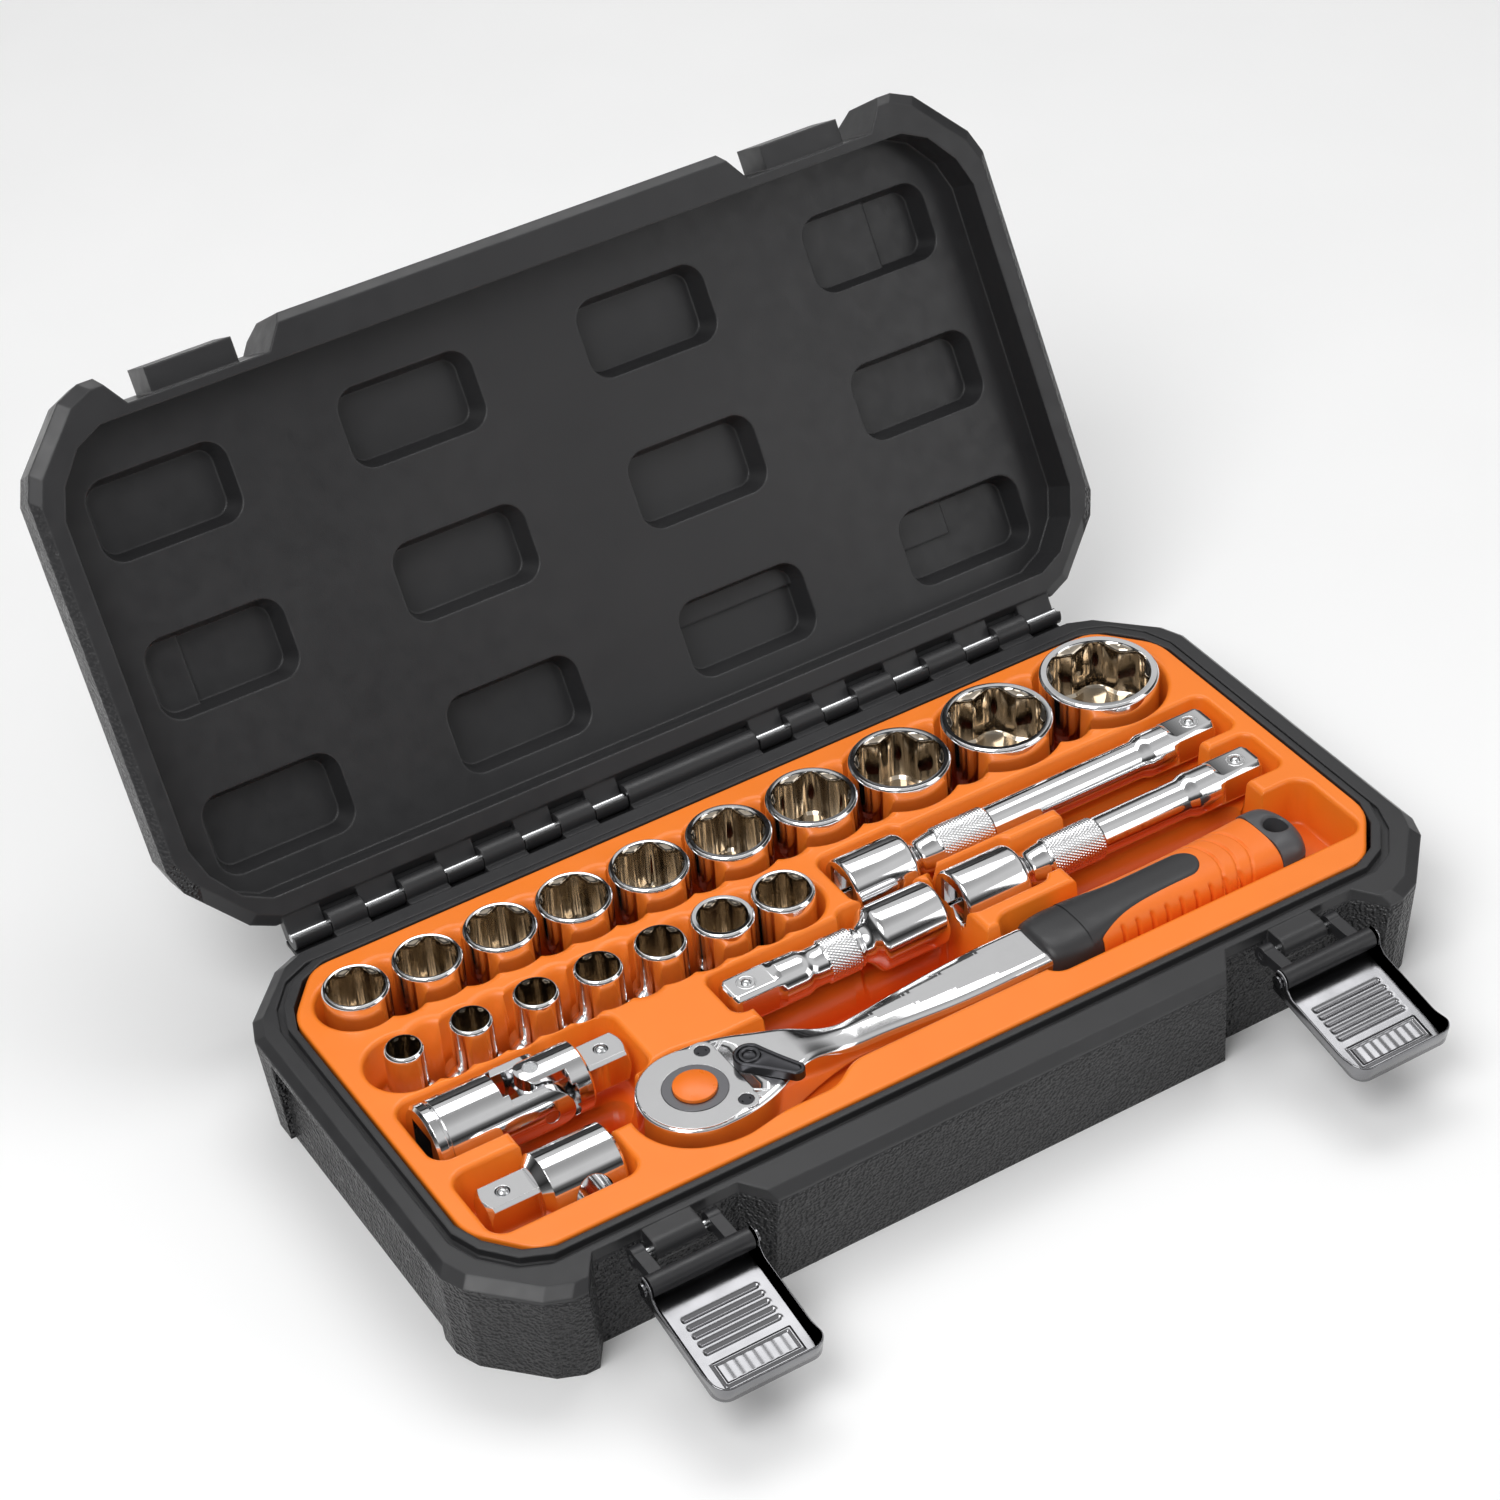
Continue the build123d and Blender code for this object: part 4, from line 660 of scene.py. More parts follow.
def row_pockets(names):
    """Scalloped pockets of a row of sockets; each floor height gets its own pocket."""
    places = []
    for name in names:
        low, high = node_box(name)
        radius = max((high[0] - low[0]) / 2, 11.0) + SOCKET_CLEARANCE
        places.append(((low[0] + high[0]) / 2, (low[1] + high[1]) / 2, radius, round(low[2] - 0.3, 2)))
    places.sort()
    pockets = []
    for floor in sorted({place[3] for place in places}):
        shapes = [(disc, *place[:3]) for place in places if place[3] == floor]
        for (x0, y0, r0, f0), (x1, y1, r1, f1) in zip(places, places[1:]):
            if max(f0, f1) == floor:
                half = ROW_GAP_SHARE * (min(r0, r1) - SOCKET_CLEARANCE) * 2
                shapes.append((slab, x0, x1, (y0 + y1) / 2 - half, (y0 + y1) / 2 + half, half / 2))
        pockets.append(Pocket(floor, 1.8, 2.0, TRAY_SOFT, *shapes))
    for (x0, y0, r0, _), (x1, y1, r1, _) in zip(places, places[1:]):
        middle = (x0 + r0 + x1 - r1) / 2
        reach = 0.62 * min(r0, r1)
        y = (y0 + y1) / 2
        saddle = (slab, middle - 2.2, middle + 2.2, y - reach, y + reach, 2.2)
        pockets.append(Pocket(26.0, 6.0, 4.0, 3.0, saddle))
    return pockets


def tool_pockets():
    """Pockets of the bars, joint, adapter and ratchet, and the deep finger wells between them."""
    pockets = []
    for bar in BARS:
        low, high = node_box(*bar_nodes(bar))
        y = (low[1] + high[1]) / 2
        left, right = low[0] - 1.5, high[0] + 1.5
        wide = (left, left + 31.5) if BARS[bar] > 0 else (right - 31.5, right)
        pockets.append(Pocket(24.2, 1.4, 1.8, TRAY_SOFT, (slab, *wide, y - 12.5, y + 12.5, 3.5)))
        pockets.append(Pocket(27.0, 1.4, 1.8, TRAY_SOFT, (slab, left, right + 2.5, y - 9.6, y + 9.6, 3.0)))
    pockets.append(Pocket(22.7, 1.6, 2.0, TRAY_SOFT, (slab, -166.5, -90.0, -26.0, 2.0, 4.5)))
    pockets.append(Pocket(23.7, 1.6, 2.0, TRAY_SOFT, (slab, -166.5, -117.0, -65.2, -36.8, 4.5)))
    x, y = HEAD_POCKET
    head = (disc, x, y, 21.0)
    neck = (slab, x, x + 44.0, y - 19.5, y + 19.5, 8.0)
    shank = (slab, x + 30.0, 46.0, y - 12.5, y + 12.5, 3.0)
    pockets.append(Pocket(29.0, 1.2, 1.8, 9.0, head, neck, shank))
    pockets.append(Pocket(13.0, 1.0, 1.0, TRAY_SOFT, (disc, x, y, 11.0)))
    pockets.append(Pocket(24.3, 1.6, 1.8, TRAY_SOFT, (slab, 41.2, 167.0, y - 16.0, y + 16.0, 5.0)))
    wells = (
        (-140.0, -98.0, -44.0, -18.0), (-46.0, 33.0, -41.0, -15.0), (92.0, 150.0, -9.0, 9.0),
        (76.0, 150.0, -41.0, -17.0),
    )
    for well in wells:
        pockets.append(Pocket(WELL_FLOOR, 2.0, 2.6, TRAY_SOFT, (slab, *well, 4.0)))
    return pockets


def tray_surface(pockets, x, y):
    """Height and normal of the tray's upper skin."""
    height = np.full(x.shape, TRAY_TOP)
    normal = np.zeros((*x.shape, 3))
    normal[..., 2] = 1.0
    step = 0.05
    for pocket in pockets:
        d = pocket.distance(x, y)
        z = np.interp(d, pocket.stations, pocket.heights)
        tilt = np.interp(d, pocket.stations, pocket.tilts)
        gx = pocket.distance(x + step, y) - pocket.distance(x - step, y)
        gy = pocket.distance(x, y + step) - pocket.distance(x, y - step)
        size = np.maximum(np.hypot(gx, gy), 1e-9)
        lower = z < height - 1e-4
        own = np.stack([-np.sin(tilt) * gx / size, -np.sin(tilt) * gy / size, np.cos(tilt)], axis=-1)
        normal[lower] = own[lower]
        height = np.minimum(height, z)
    return height, normal


def tray_ring(inset):
    """Cut-corner outline of the tray, inset from its edge, as (x, y) points."""
    half_x, half_y = tray_high[0] - inset, tray_high[1] - inset
    quarter = [(half_x, half_y - 20.0), (half_x - 16.0, half_y)]
    corners = quarter + [(-a, b) for a, b in quarter[::-1]]
    corners += [(-a, -b) for a, b in corners[:2]] + [(a, -b) for a, b in quarter[::-1]]
    points = []
    count = len(corners)
    bends = [
        rounded_corner(*corners[k - 1], *corners[k], *corners[(k + 1) % count], 6.0) for k in range(count)
    ]
    for bend, following in zip(bends, bends[1:] + bends[:1]):
        side = following[0] - bend[-1]
        points += bend + [bend[-1] + side * t for t in np.linspace(0, 1, 24)[1:-1]]
    return np.array(points)


def tray_piece():
    """One formed tray: land, pockets, wells, rolled rim and skirt."""
    back = [name for name in SOCKETS if node_box(name)[0][1] > ROW_SPLIT]
    front = [name for name in SOCKETS if name not in back]
    pockets = row_pockets(back) + row_pockets(front) + tool_pockets()
    half_x, half_y = tray_high[:2]
    field = (-half_x, half_x, -half_y, half_y, 1.25)
    groups = [level_lines(pocket.distance, pocket.stations, *field) for pocket in pockets]
    lines = chosen_lines(lambda x, y: (abs(x) < half_x - 1.6) & (abs(y) < half_y - 1.6), groups)
    plan, faces = triangulate([tray_ring(TRAY_EDGE_ROUND)], lines, np.zeros((0, 2)))
    height, normal = tray_surface(pockets, plan[:, 0], plan[:, 1])
    shell = Shell()
    shell.add(np.column_stack([plan, height]), normal, faces)
    skirt = (
        (TRAY_EDGE_ROUND, 0.0, 90), (0.66, 0.06, 70), (0.29, 0.29, 45), (0.06, 0.66, 20),
        (0.0, 1.0, 0), (0.0, 3.0, 0), (0.0, 3.0, -90), (0.6, 3.0, -90), (0.6, 3.0, 0),
        (3.0, TRAY_TOP - tray_low[2], 0),
    )
    shell.band([(tray_ring(inset), TRAY_TOP - drop, tilt) for inset, drop, tilt in skirt])
    base = tray_ring(3.0)
    floor = np.column_stack([base, np.full(len(base), tray_low[2])])
    shell.add(floor, [(0, 0, -1)] * len(base), [range(len(base))[::-1]])
    piece = shell.build("visual_tray", MATERIALS["tray_plastic"])
    stand_for(piece, *TRAY_NODES)


tray_piece()


# --- Extension bars ---
def knurl(station, angles):
    """Radius of the knurled band with a diamond knurl cut into it."""
    lean = math.tan(math.radians(30)) / KNURL_R
    teeth = round(TURN * KNURL_R / KNURL_PITCH)
    height = np.zeros(len(angles))
    for hand in (-1, 1):
        phase = teeth * (angles + hand * lean * station) / TURN
        height += abs(2 * (phase % 1.0) - 1)
    return KNURL_R - KNURL_DEPTH * (1 - height / 2)


def bar_piece(bar, direction):
    """Extension bar: female end, neck, knurled band, shaft, collar and male square."""
    nodes = bar_nodes(bar)
    low, high = node_box(*nodes)
    length = high[0] - low[0]
    y, z = (low[1] + high[1]) / 2, (low[2] + high[2]) / 2
    x0 = low[0] if direction > 0 else high[0]
    angles = np.arange(BAR_SEGMENTS) * TURN / BAR_SEGMENTS
    flat = np.maximum(abs(np.cos(angles)), abs(np.sin(angles)))

    def ring(station, radii):
        a = radii * np.cos(angles) * direction
        b = radii * np.sin(angles)
        return np.stack([np.full(BAR_SEGMENTS, x0 + direction * station), y + a, z + b], axis=1)

    def squared(half, corner):
        return np.minimum(half / flat, corner)

    short = length < 100
    knurl_start = 33.0 if short else 38.0
    knurl_length = 11.0 if short else 20.0
    knurl_end = knurl_start + knurl_length
    square_start = length - DRIVE_LENGTH
    drive_hole = squared(DRIVE_HOLE_HALF, DRIVE_HOLE_CORNER)
    sections = [(DRIVE_HOLE_DEPTH + 1, drive_hole), (0.9, drive_hole), (0.0, squared(7.0, 9.3))]
    female_end = [
        (0.0, BAR_FEMALE_R - 1.2), (0.0, BAR_FEMALE_R - 0.8), (0.8, BAR_FEMALE_R),
        (24.6, BAR_FEMALE_R), (27.6, 7.4), (30.0, 6.1), (knurl_start - 2.0, 7.1),
        (knurl_start - 0.9, 7.1), (knurl_start - 0.2, 7.6),
    ]
    sections += soften(female_end, 1.6)
    steps = int(knurl_length / KNURL_STEP)
    stations = [knurl_start + knurl_length * i / steps for i in range(steps + 1)]
    sections += [(station, knurl(station, angles)) for station in stations]
    shaft = [
        (knurl_end + 0.3, 7.5), (knurl_end + 1.0, BAR_SHAFT_R), (square_start - 15.0, BAR_SHAFT_R),
        (square_start - 12.0, BAR_COLLAR_R), (square_start - 3.0, BAR_COLLAR_R),
    ]
    sections += soften(shaft, 1.2)
    sections += [
        (square_start - 2.6, squared(BAR_COLLAR_R - 0.05, BAR_COLLAR_R)),
        (square_start - 0.6, squared(DRIVE_HALF + 0.2, BAR_COLLAR_R)),
        (square_start, squared(DRIVE_HALF, BAR_COLLAR_R)),
        (length - 2.0, squared(DRIVE_HALF, BAR_COLLAR_R)), (length - 1.2, squared(6.3, 7.7)),
        (length - 0.4, squared(6.0, 6.9)), (length, squared(5.4, 6.0)),
    ]
    vertices, faces = loft([ring(*section) for section in sections])
    vertices, faces = with_stake(vertices, faces, x0 + direction * (length - 7.6), y, z + DRIVE_HALF)
    piece = make_object("visual_" + bar, vertices, faces, MATERIALS["turned_chrome"], 32)
    stand_for(piece, *nodes)


def with_stake(vertices, faces, x, y, z):
    """Add the staked ring around a detent ball that stands on a flat facing up."""
    count = 48
    rings = []
    for turn in np.arange(8) * TURN / 8:
        points = ring_xy(x, y, 3.15 + 0.3 * math.cos(turn), count, -1)
        rings.append(np.column_stack([points, np.full(count, z + 0.16 * math.sin(turn))]))
    more, more_faces = loft(rings, closed=True)
    shift = len(vertices)
    faces = faces + [tuple(k + shift for k in face) for face in more_faces]
    return np.concatenate([vertices, more]), faces


for bar, way in BARS.items():
    bar_piece(bar, way)


# --- Ratchet ---
HEAD_R = 19.4
BODY_END = 131.5
BODY_END_HALF = 10.5
COVER_R = 18.7
COVER_EAR = (10.7, 13.7, 4.3)
COVER_END = 15.12
COVER_DEPTH = 2.45
GEAR_BORE_R = 13.35
GEAR_BORE_FLOOR = 4.0
JOURNAL_R = 9.4
AT_HEAD = Matrix.Translation((HEAD_X, HEAD_Y, 0))


def ratchet_rim():
    """Plan outline of the forged body: round head, narrow neck, widening shank; head centre at the origin."""
    stations = np.array([0, 7, 14, 21, 28, 35, 42, 52, 64, 78, 94, 110, BODY_END])
    widths = [HEAD_R, 19.3, 18.3, 16.2, 13.0, 10.0, 7.9, 6.7, 7.0, 8.3, 9.8, BODY_END_HALF, BODY_END_HALF]
    widths = np.array(widths)
    x = np.linspace(0, BODY_END, 150)
    slopes = np.gradient(widths, stations)
    k = np.clip(np.searchsorted(stations, x, side="right") - 1, 0, len(stations) - 2)
    gap = stations[k + 1] - stations[k]
    t = (x - stations[k]) / gap
    w = (2 * t**3 - 3 * t**2 + 1) * widths[k] + (t**3 - 2 * t**2 + t) * gap * slopes[k]
    w += (3 * t**2 - 2 * t**3) * widths[k + 1] + (t**3 - t**2) * gap * slopes[k + 1]
    angle = np.linspace(math.pi / 2, 1.5 * math.pi, 80)[1:-1]
    head = HEAD_R * np.column_stack([np.cos(angle), np.sin(angle)])
    end_y = np.linspace(-BODY_END_HALF, BODY_END_HALF, 11)[1:-1]
    right = np.column_stack([np.full(len(end_y), BODY_END), end_y])
    lower = np.column_stack([x, -w])
    upper = np.column_stack([x[::-1], w[::-1]])
    return np.concatenate([lower, right, upper, head])


def ratchet_body_piece():
    """Forged ratchet body with the recess for the head cover and the bore for the gear."""
    rim = ratchet_rim()

    def edge_gap(x, y):
        return outline_distance(rim, x, y)

    def cover_gap(x, y):
        ear_x, ear_y, ear_r = COVER_EAR
        gap = np.minimum(disc(x, y, 0, 0, COVER_R), disc(x, abs(y), ear_x, ear_y, ear_r))
        return np.maximum(gap, x - COVER_END)

    def ridge_gap(x, y):
        return abs(y) - np.clip((x - 50.0) * 0.115, 0.0, 7.6)

    def top(x, y):
        shank = smooth_step(x, 36.0, 58.0)
        spine = 0.012 * y**2 * (1 - smooth_step(x, 50, 80))
        crown = shank * (0.34 * np.maximum(ridge_gap(x, y), 0.0) + spine)
        edge = round_over(edge_gap(x, y), 2.4) * (1.3 + 1.1 * shank) / 2.4
        z = HEAD_TOP - 4.5 * smooth_step(x, 33.0, 60.0) - crown - edge
        return np.where(cover_gap(x, y) < 0, HEAD_TOP - COVER_DEPTH, z)

    def bottom(x, y):
        shank_rise = 2.0 * smooth_step(x, 36.0, 60.0) + 0.14 * smooth_step(x, 40, 60) * abs(y)
        return HEAD_BOTTOM + round_over(edge_gap(x, y), 2.0) + shank_rise

    groups = [
        level_lines(edge_gap, (-0.12, -0.45, -1.0, -1.7, -2.4), -22, 133, -22, 22, 1.1),
        level_lines(cover_gap, (-0.03, 0.03), -22, 22, -22, 22, 0.9),
        level_lines(ridge_gap, (0.02,), 50, 131, -9, 9, 1.2),
    ]
    lines = chosen_lines(lambda x, y: abs(edge_gap(x, y)) > 0.05, groups)
    gx, gy = np.meshgrid(np.arange(22, 131, 1.7), np.arange(-17, 18, 1.7))
    inner = edge_gap(gx, gy) < -2.7
    extras = np.column_stack([gx[inner], gy[inner]])
    shell = Shell()
    carved(shell, rim, [(0, 0, GEAR_BORE_R)], lines, extras, top, bottom)
    shell.tube(rim, top(*rim.T), bottom(*rim.T))
    bore = ring_xy(0, 0, GEAR_BORE_R, turn=-1)
    journal = ring_xy(0, 0, JOURNAL_R, turn=-1)
    floor = HEAD_BOTTOM + GEAR_BORE_FLOOR
    shell.tube(bore, HEAD_TOP - COVER_DEPTH, floor)
    shell.band([(bore, floor, 90), (journal, floor, 90)])
    shell.tube(journal, floor, HEAD_BOTTOM)
    shell.band([(journal, HEAD_BOTTOM, -90), (bore, HEAD_BOTTOM, -90)])
    piece = shell.build("visual_ratchet_body", MATERIALS["satin_chrome"], AT_HEAD)
    stand_for(piece, "ratchet_body")


def lever_piece():
    """Reversing lever: teardrop with a raised border, a dished pivot and a thumb ridge."""
    low, high = node_box("reversing_lever")
    length, pivot_r, tip_r = 16.5, 5.4, 2.9
    pivot = np.array([20.4, 0.0])
    heading = np.array([math.cos(math.radians(-57.0)), math.sin(math.radians(-57.0))])
    tip = pivot + length * heading
    top_z, low_z = high[2], high[2] - 3.6

    def outline(x, y):
        t = np.clip(((x - pivot[0]) * heading[0] + (y - pivot[1]) * heading[1]) / length, 0, 1)
        reach = np.hypot(x - pivot[0] - t * (tip - pivot)[0], y - pivot[1] - t * (tip - pivot)[1])
        return reach - (pivot_r * (1 - t) + tip_r * t - 0.9 * t * (1 - t))

    def from_pivot(x, y):
        return disc(x, y, *pivot, 0)

    def top(x, y):
        pit = from_pivot(x, y)
        dish = smooth_step(-outline(x, y), 1.1, 1.7) * smooth_step(pit, 3.3, 3.9) * 1.1
        boss = smooth_step(-pit, -2.4, -1.9) * 1.3
        return top_z - round_over(outline(x, y), 0.7) - dish - boss

    def bottom(x, y):
        return np.full(np.shape(x), low_z)

    rim = ray_rim(outline, (pivot + tip) / 2, 140)
    field = (pivot[0] - 7, tip[0] + 5, tip[1] - 5, pivot[1] + 7, 0.5)
    groups = [
        level_lines(outline, (-0.1, -0.3, -0.7, -1.1, -1.4, -1.7), *field),
        level_lines(from_pivot, (1.9, 2.15, 2.4, 3.3, 3.6, 3.9), *field),
    ]
    lines = chosen_lines(lambda x, y: outline(x, y) < -0.05, groups)
    shell = Shell()
    carved(shell, rim, [], lines, np.array([pivot, tip]), top, bottom)
    shell.tube(rim, top_z - 0.55, low_z)
    shell.tube(ring_xy(*pivot, 2.6, 48), low_z, low[2])
    piece = shell.build("visual_reversing_lever", MATERIALS["black_steel"], AT_HEAD)
    stand_for(piece, "reversing_lever")


# --- Grip ---
GRIP_START_X = 130.0
SLEEVE_START_X = 150.0
CAP_START_X = 223.0
GRIP_END_X = 237.5
GRIP_Z = 34.5
SECTION_POWER = 2.9


def grip_width(x):
    """Half width of the grip at a station from the head."""
    along = (x - GRIP_START_X) / (GRIP_END_X - GRIP_START_X)
    ends = 14.1 - 2.0 * np.sin(math.pi * np.clip(along * 1.15, 0, 1))
    return ends - 2.6 * np.maximum(0, 1 - (x - GRIP_START_X) / 14) ** 2


def grip_height(x):
    """Half height of the grip at a station."""
    return 9.7 - 0.9 * np.maximum(0, 1 - (x - GRIP_START_X) / 10) ** 2


def grip_top(x, y):
    """Height of the grip's upper skin above its axis."""
    reach = np.clip(1 - abs(y / grip_width(x)) ** SECTION_POWER, 0, 1)
    return grip_height(x) * reach ** (1 / SECTION_POWER)


def grip_ring(x, scale=1.0, cut=None):
    """Section of the grip; cut takes (height, side) arrays and gives a depth to take off."""
    c, s = np.cos(ANGLES), np.sin(ANGLES)
    reach = abs(c / grip_width(x)) ** SECTION_POWER + abs(s / grip_height(x)) ** SECTION_POWER
    radii = scale * reach ** (-1 / SECTION_POWER)
    if cut is not None:
        radii = radii - cut(radii * s, radii * c)
    return np.stack([np.full(SEGMENTS, HEAD_X + x), HEAD_Y + radii * c, GRIP_Z + radii * s], axis=1)


def groove(offset, width):
    """Cross-section of a groove: one in the middle, nothing outside."""
    return np.clip(1 - abs(offset) / (width / 2), 0, 1) ** 0.5


def sleeve_piece():
    """Soft sleeve: short grooves along both sides and curved ones before the cap."""

    def cuts(x):
        def depth(z, y):
            side = smooth_step(abs(y), 9.6, 11.2) * smooth_step(-abs(z - 1.0), -6.6, -5.2)
            total = sum(groove(x - 158.5 - 6 * k, 1.5) for k in range(9)) * side * 1.3
            top = smooth_step(z, 0.5, 3.0)
            for start in (202.0, 208.0, 214.0):
                total = total + 0.75 * top * groove(x - start + 0.028 * y**2 + 0.12 * y, 1.1)
            return total

        return depth

    rings = [grip_ring(SLEEVE_START_X, scale) for scale in (0.62, 0.965)]
    for x in np.arange(SLEEVE_START_X, CAP_START_X + 0.01, 0.4):
        rings.append(grip_ring(x, 1.0 - 0.03 * math.exp(-(x - SLEEVE_START_X) / 0.5), cuts(x)))
    rings += [grip_ring(CAP_START_X, scale) for scale in (0.965, 0.62)]
    vertices, faces = loft(rings, closed=True)
    piece = make_object("visual_grip_sleeve", vertices, faces, MATERIALS["grip_orange"], 50)
    stand_for(piece, "grip_sleeve")


def core_piece():
    """Hard collar, the rod inside the sleeve, and the blank inlay that runs on from the collar."""
    profile = [(0.0, 0.80), (0.25, 0.90), (0.9, 0.965), (2.0, 1.0)]
    profile += [(along, 1.0) for along in np.arange(3.0, 19.6, 1.0)]
    profile += [(19.7, 0.99), (19.95, 0.96), (20.0, 0.6), (CAP_START_X - GRIP_START_X, 0.6)]
    vertices, faces = loft([grip_ring(GRIP_START_X + along, scale) for along, scale in profile])
    start, tip, wide, narrow = 146.0, 197.0, 12.2, 6.4
    across = np.concatenate([[-1.0], np.linspace(-1, 1, 25), [1.0]])
    lift = 0.38 - 0.3 * abs(across) ** 14
    lift[0] = lift[-1] = -1.0
    rows = []
    for t in np.linspace(0, 1, 90):
        x = start + (tip - start - 0.001) * math.sin(t * math.pi / 2)
        flare = math.exp(-(((x - start) / 12.0) ** 1.6))
        half = wide * flare + narrow * (1 - flare)
        half *= math.sqrt(max(1e-4, 1 - max(0.0, (x - tip + narrow) / narrow) ** 2))
        y = 0.9 * smooth_step(x, 150.0, 185.0) + across * half
        z = GRIP_Z + grip_top(x, y) + lift
        rows.append(np.column_stack([np.full(len(y), HEAD_X + x), HEAD_Y + y, z]))
    width = len(across)
    for r in range(len(rows) - 1):
        for k in range(width - 1):
            a = len(vertices) + r * width + k
            faces.append((a, a + width, a + width + 1, a + 1))
    vertices = np.concatenate([vertices, *rows])
    piece = make_object("visual_grip_core", vertices, faces, MATERIALS["grip_black"], 50)
    stand_for(piece, "grip_core")


def cap_piece():
    """Grey end cap: rounded end and an oval hanging hole with a rolled edge."""
    hole_x, hole_r = 230.0, 4.4

    def outline(x, y):
        return -merged(grip_width(x) - abs(y), -disc(x, y, 216.0, 0, 21.4), 3.0)

    def from_hole(x, y):
        return disc(x, y, hole_x, 0, hole_r)

    def top(x, y):
        fall = round_over(np.minimum(outline(x, y), -0.02), 7.0)
        return GRIP_Z + grip_height(x) - fall - round_over(-from_hole(x, y), 1.4)

    def bottom(x, y):
        return 2 * GRIP_Z - top(x, y)

    rim = ray_rim(lambda x, y: max(outline(x, y), CAP_START_X + 0.05 - x), np.array([229.0, 0.0]), 160)
    field = (222, 240, -16, 16, 0.8)
    groups = [
        level_lines(outline, (-0.15, -0.5, -1.1, -2.0, -3.2, -4.6), *field),
        level_lines(from_hole, (0.15, 0.5, 0.9, 1.4), *field),
    ]

    def inside(x, y):
        return (outline(x, y) < -0.06) & (x > CAP_START_X + 0.3) & (from_hole(x, y) > 0.1)

    shell = Shell()
    hole = (hole_x, 0.0, hole_r)
    carved(shell, rim, [hole], chosen_lines(inside, groups), np.zeros((0, 2)), top, bottom)
    bore = ring_xy(*hole, turn=-1)
    for ring in (rim, bore):
        shell.tube(ring, top(*ring.T), bottom(*ring.T))
    piece = shell.build("visual_grip_cap", MATERIALS["cap_grey"], AT_HEAD)
    stand_for(piece, "grip_cap")


ratchet_body_piece()
lever_piece()
sleeve_piece()
core_piece()
cap_piece()


# --- Latch plates ---
PLATE_HALF = 19.5
PLATE_REACH = 43.9
PLATE_BACK = 2.0
PLATE_FLOOR = -5.8
PLATE_SKIN = 0.9
PLATE_ROLL = 2.4
PLATE_BACK_POINTS = 26
PLATE_CORNER = 5.4
PLATE_EAR_R = 4.0
PLATE_PIVOT_Y = -108.0
PLATE_PIVOT_Z = 37.0
PLATE_TILT_DEG = 12.0
RIB_PITCH = 3.3
RIB_DEPTH = 0.62


def plate_ring(inset):
    """Plan of a latch plate: straight back edge, two rounded corners at the tip."""
    half, tip = PLATE_HALF - inset, -PLATE_REACH + inset
    corner = max(PLATE_CORNER - inset, 0.5)
    left = np.column_stack([np.full(40, -half), np.linspace(PLATE_BACK, tip + corner, 40)])
    turns = np.linspace(math.pi, 1.5 * math.pi, 14)[1:-1]
    bend = np.column_stack([np.cos(turns), np.sin(turns)]) * corner + (-half + corner, tip + corner)
    lip = np.column_stack([np.linspace(-half + corner, half - corner, 30), np.full(30, tip)])
    along_back = np.linspace(half, -half, PLATE_BACK_POINTS)
    back = np.column_stack([along_back, np.full(PLATE_BACK_POINTS, PLATE_BACK)])
    mirror = (-1, 1)
    return np.concatenate([left, bend, lip, bend[::-1] * mirror, left[::-1] * mirror, back])


def flange_height(ring):
    """Height of the flange's edge above the plate's floor, around the plan."""
    y = ring[:, 1]
    round_ear = np.sqrt(np.maximum(PLATE_EAR_R**2 - np.minimum(y, PLATE_EAR_R) ** 2, 0.0))
    ear = -PLATE_FLOOR + round_ear * (abs(y) < PLATE_EAR_R)
    side = 3.6 + 2.6 * smooth_step(-y, 32.0, 42.0)
    height = side + (ear - side) * smooth_step(y, -7.5, -3.2)
    height[-PLATE_BACK_POINTS:] = 0.0
    return height


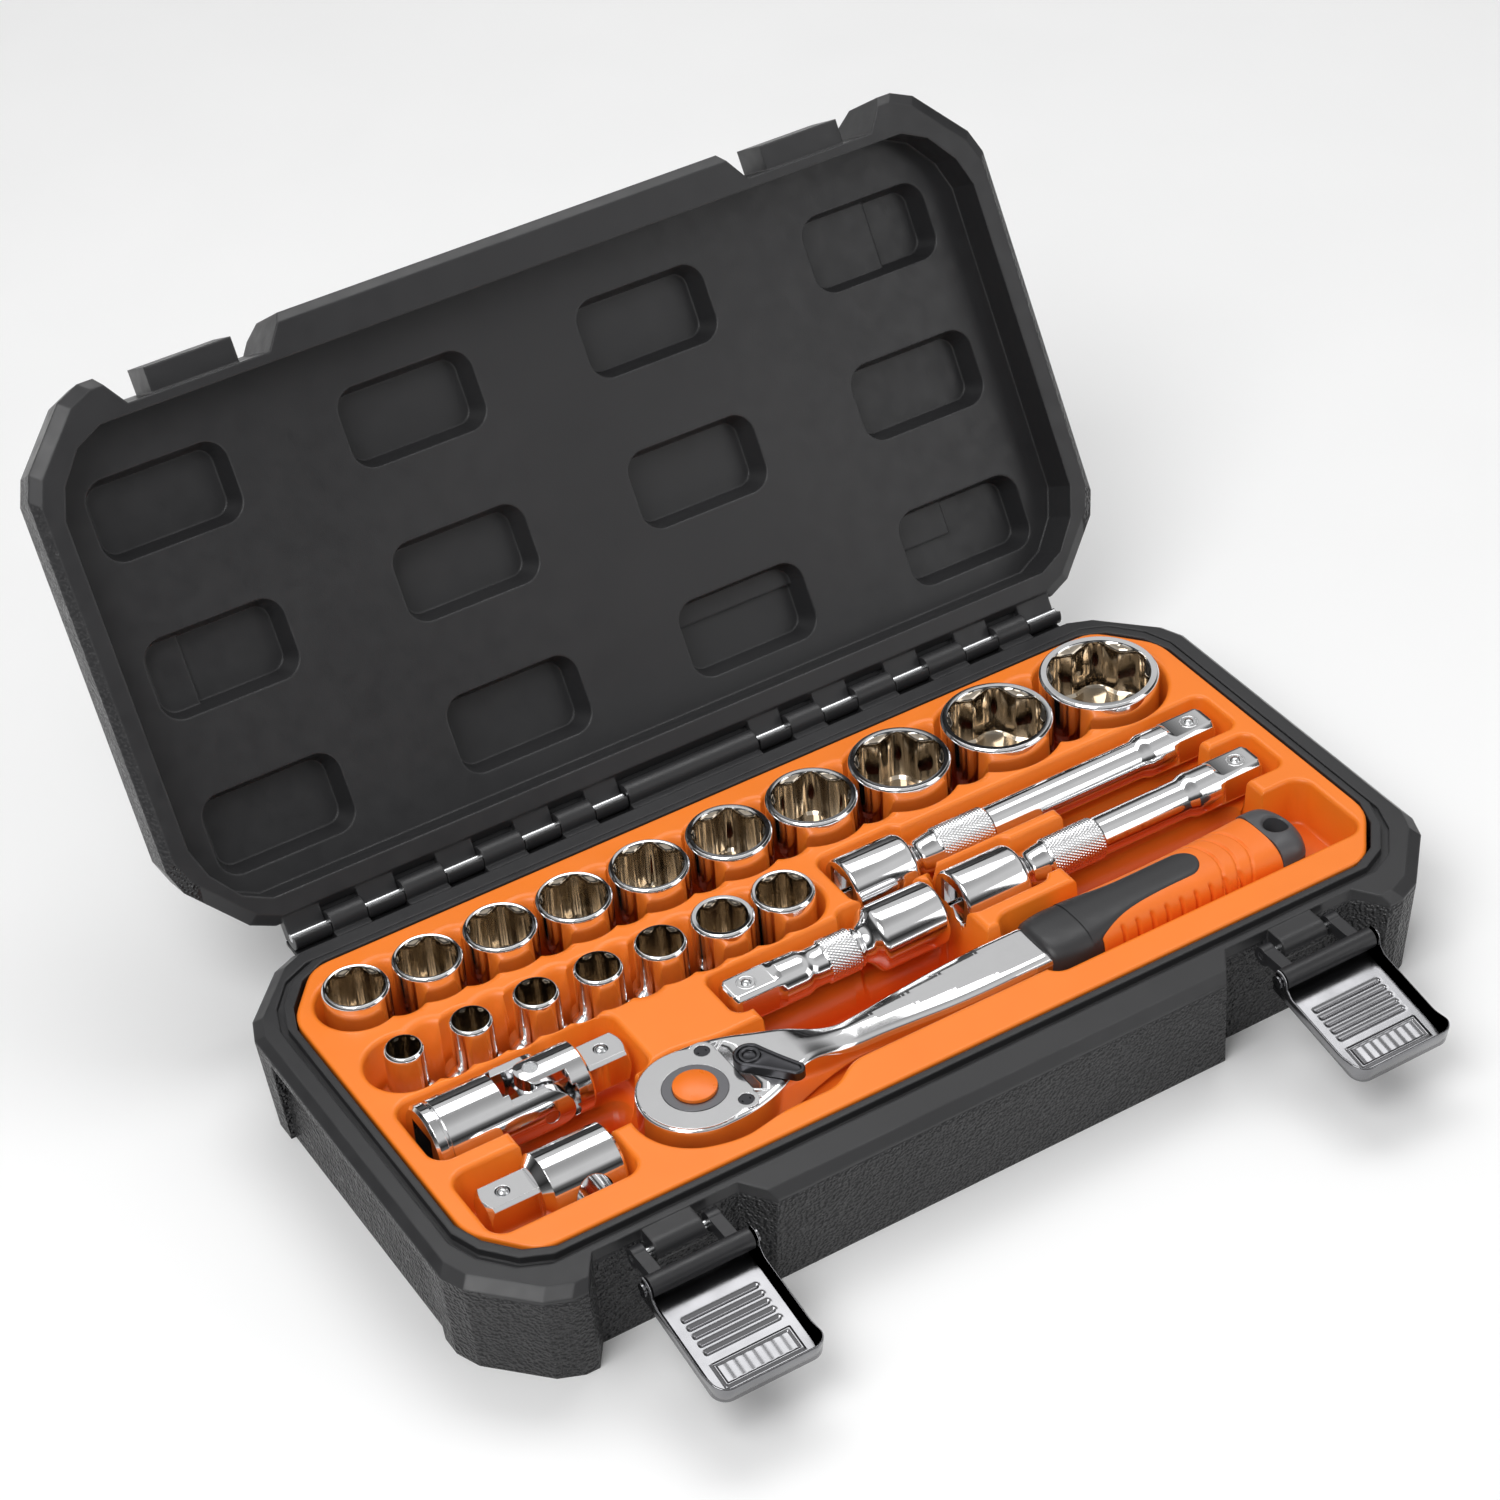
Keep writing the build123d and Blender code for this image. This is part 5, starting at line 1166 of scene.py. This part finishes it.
def latch_plate_piece(node):
    """Pressed latch plate: dished pan with a rolled rim, ears, five ribs and a blank framed panel."""

    def relief(x, y):
        ribs = sum(np.exp(-(((y + 12.5 + RIB_PITCH * rib) / 0.75) ** 2)) for rib in range(5))
        ribs = ribs * smooth_step(-abs(x), -14.0, -12.6)
        frame_gap = np.maximum(abs(x) - 13.8, abs(y + 34.6) - 4.6)
        panel = smooth_step(-frame_gap, -0.5, 0.5) * 0.4 - smooth_step(-frame_gap, 0.7, 1.5) * 0.4
        waves = 0.06 * np.sin(1.9 * x) * smooth_step(-frame_gap, 0.8, 1.6)
        return panel + waves - RIB_DEPTH * ribs

    def top(x, y):
        return PLATE_FLOOR + relief(x, y)

    def bottom(x, y):
        return PLATE_FLOOR - PLATE_SKIN + relief(x, y)

    inner = plate_ring(PLATE_ROLL)
    xs, ys = np.meshgrid(np.arange(-16.5, 16.6, 0.62), np.arange(-40.8, -8.9, 0.33))
    keep = outline_distance(inner, xs, ys) < -0.3
    shell = Shell()
    carved(shell, inner, [], np.zeros((0, 4)), np.column_stack([xs[keep], ys[keep]]), top, bottom)
    rise = flange_height(plate_ring(0.0))
    share = np.minimum(1.0, rise / 3.0)
    outside = ((0.45, rise, 90), (0.08, 0.95 * rise, 30), (0.0, 0.88 * rise, 0), (0.0, -0.2, -20))
    inside = (
        (0.45, rise, 90), (0.82, 0.95 * rise, 150), (PLATE_SKIN, 0.88 * rise, 180),
        (PLATE_SKIN, 1.3 * share, 178), (1.15, 0.6 * share, 150), (1.6, 0.2 * share, 115),
        (PLATE_ROLL, 0.0, 90),
    )
    underneath = ((0.0, -0.2, -20), (0.4, -0.7, -50), (1.2, -PLATE_SKIN, -85), (PLATE_ROLL, -PLATE_SKIN, -90))
    for levels in (outside, inside, underneath):
        shell.band([(plate_ring(inset), PLATE_FLOOR + height, tilt) for inset, height, tilt in levels])
    x = np.mean(node_box(node), axis=0)[0]
    tilt = Matrix.Rotation(math.radians(PLATE_TILT_DEG), 4, "X")
    place = Matrix.Translation((x, PLATE_PIVOT_Y, PLATE_PIVOT_Z)) @ tilt
    piece = shell.build("visual_" + node, MATERIALS["latch_steel"], place)
    stand_for(piece, node)


for side in ("left", "right"):
    latch_plate_piece("latch_plate_" + side)


# --- Camera, light and floor ---
def add_camera():
    """Camera at the viewing angle of the reference, 40 degrees above the horizon."""
    data = bpy.data.cameras.new("camera")
    data.sensor_width = 36.0
    data.lens = 91.94
    data.clip_start = 0.01
    data.clip_end = 20.0
    camera = placed("camera", data)
    camera.location = Vector((-489.8, -846.3, 873.7)) * MM
    turn = Vector((2.1474, -0.6418, 0.2264))
    to_camera = Matrix.Rotation(turn.length, 3, turn.normalized())
    axes = Matrix((to_camera[0], -to_camera[1], -to_camera[2])).transposed()
    aim(camera, axes.to_quaternion())
    bpy.context.scene.camera = camera


def add_light(name, location, target, size, watts):
    """Soft rectangular light that looks at a target."""
    data = bpy.data.lights.new(name, "AREA")
    data.shape = "RECTANGLE"
    data.size = size[0]
    data.size_y = size[1]
    data.energy = watts
    light = placed(name, data)
    light.location = location
    aim(light, (Vector(target) - Vector(location)).to_track_quat("-Z", "Y"))


def add_world():
    """Bright surroundings with darker bands, so that polished steel has something to reflect."""
    world = bpy.data.worlds.new("studio")
    bpy.context.scene.world = world
    world.use_nodes = True
    tree = world.node_tree
    upward = new_node(tree, "SeparateXYZ", "Z", {0: new_node(tree, "TexCoord", "Generated", {})})
    height = new_node(tree, "MapRange", "Result", {"Value": upward, "From Min": -1.0, "From Max": 1.0})
    bands = new_node(tree, "ValToRGB", "Color", {"Fac": height})
    stops = ((0.0, 0.55), (0.5, 0.8), (0.55, 0.22), (0.64, 0.03), (0.72, 0.2), (0.79, 1), (0.9, 1), (1, 0.45))
    for position, _ in stops[1:-1]:
        bands.node.color_ramp.elements.new(position)
    for element, (_, level) in zip(bands.node.color_ramp.elements, stops):
        element.color = (level, level, level, 1)
    background = tree.nodes["Background"]
    background.inputs["Strength"].default_value = 0.62
    tree.links.new(bands, background.inputs["Color"])


def add_floor():
    """Plain pale floor."""
    reach = 6000.0
    corners = [(-reach, -reach, 0), (reach, -reach, 0), (reach, reach, 0), (-reach, reach, 0)]
    s = Surface("floor")
    colour = s.blend(s.spread(s.noise(3), 0.0, 1.0), rgba(0.95, 0.95, 0.95), rgba(0.97, 0.97, 0.97))
    s.finish(colour, s.spread(s.noise(20), 0.5, 0.6))
    floor = make_object("floor", corners, [(0, 1, 2, 3)], s.material)


add_camera()
add_world()
add_floor()
add_light("key", (-0.9, -0.5, 1.5), (0, 0, 0), (1.0, 1.0), 16)
add_light("top", (0.4, 0.6, 1.6), (0, 0.05, 0), (1.4, 0.7), 9)
add_light("fill", (1.2, -1.2, 0.7), (0, 0, 0.05), (0.9, 0.9), 4)
bpy.context.scene.view_settings.view_transform = "Standard"
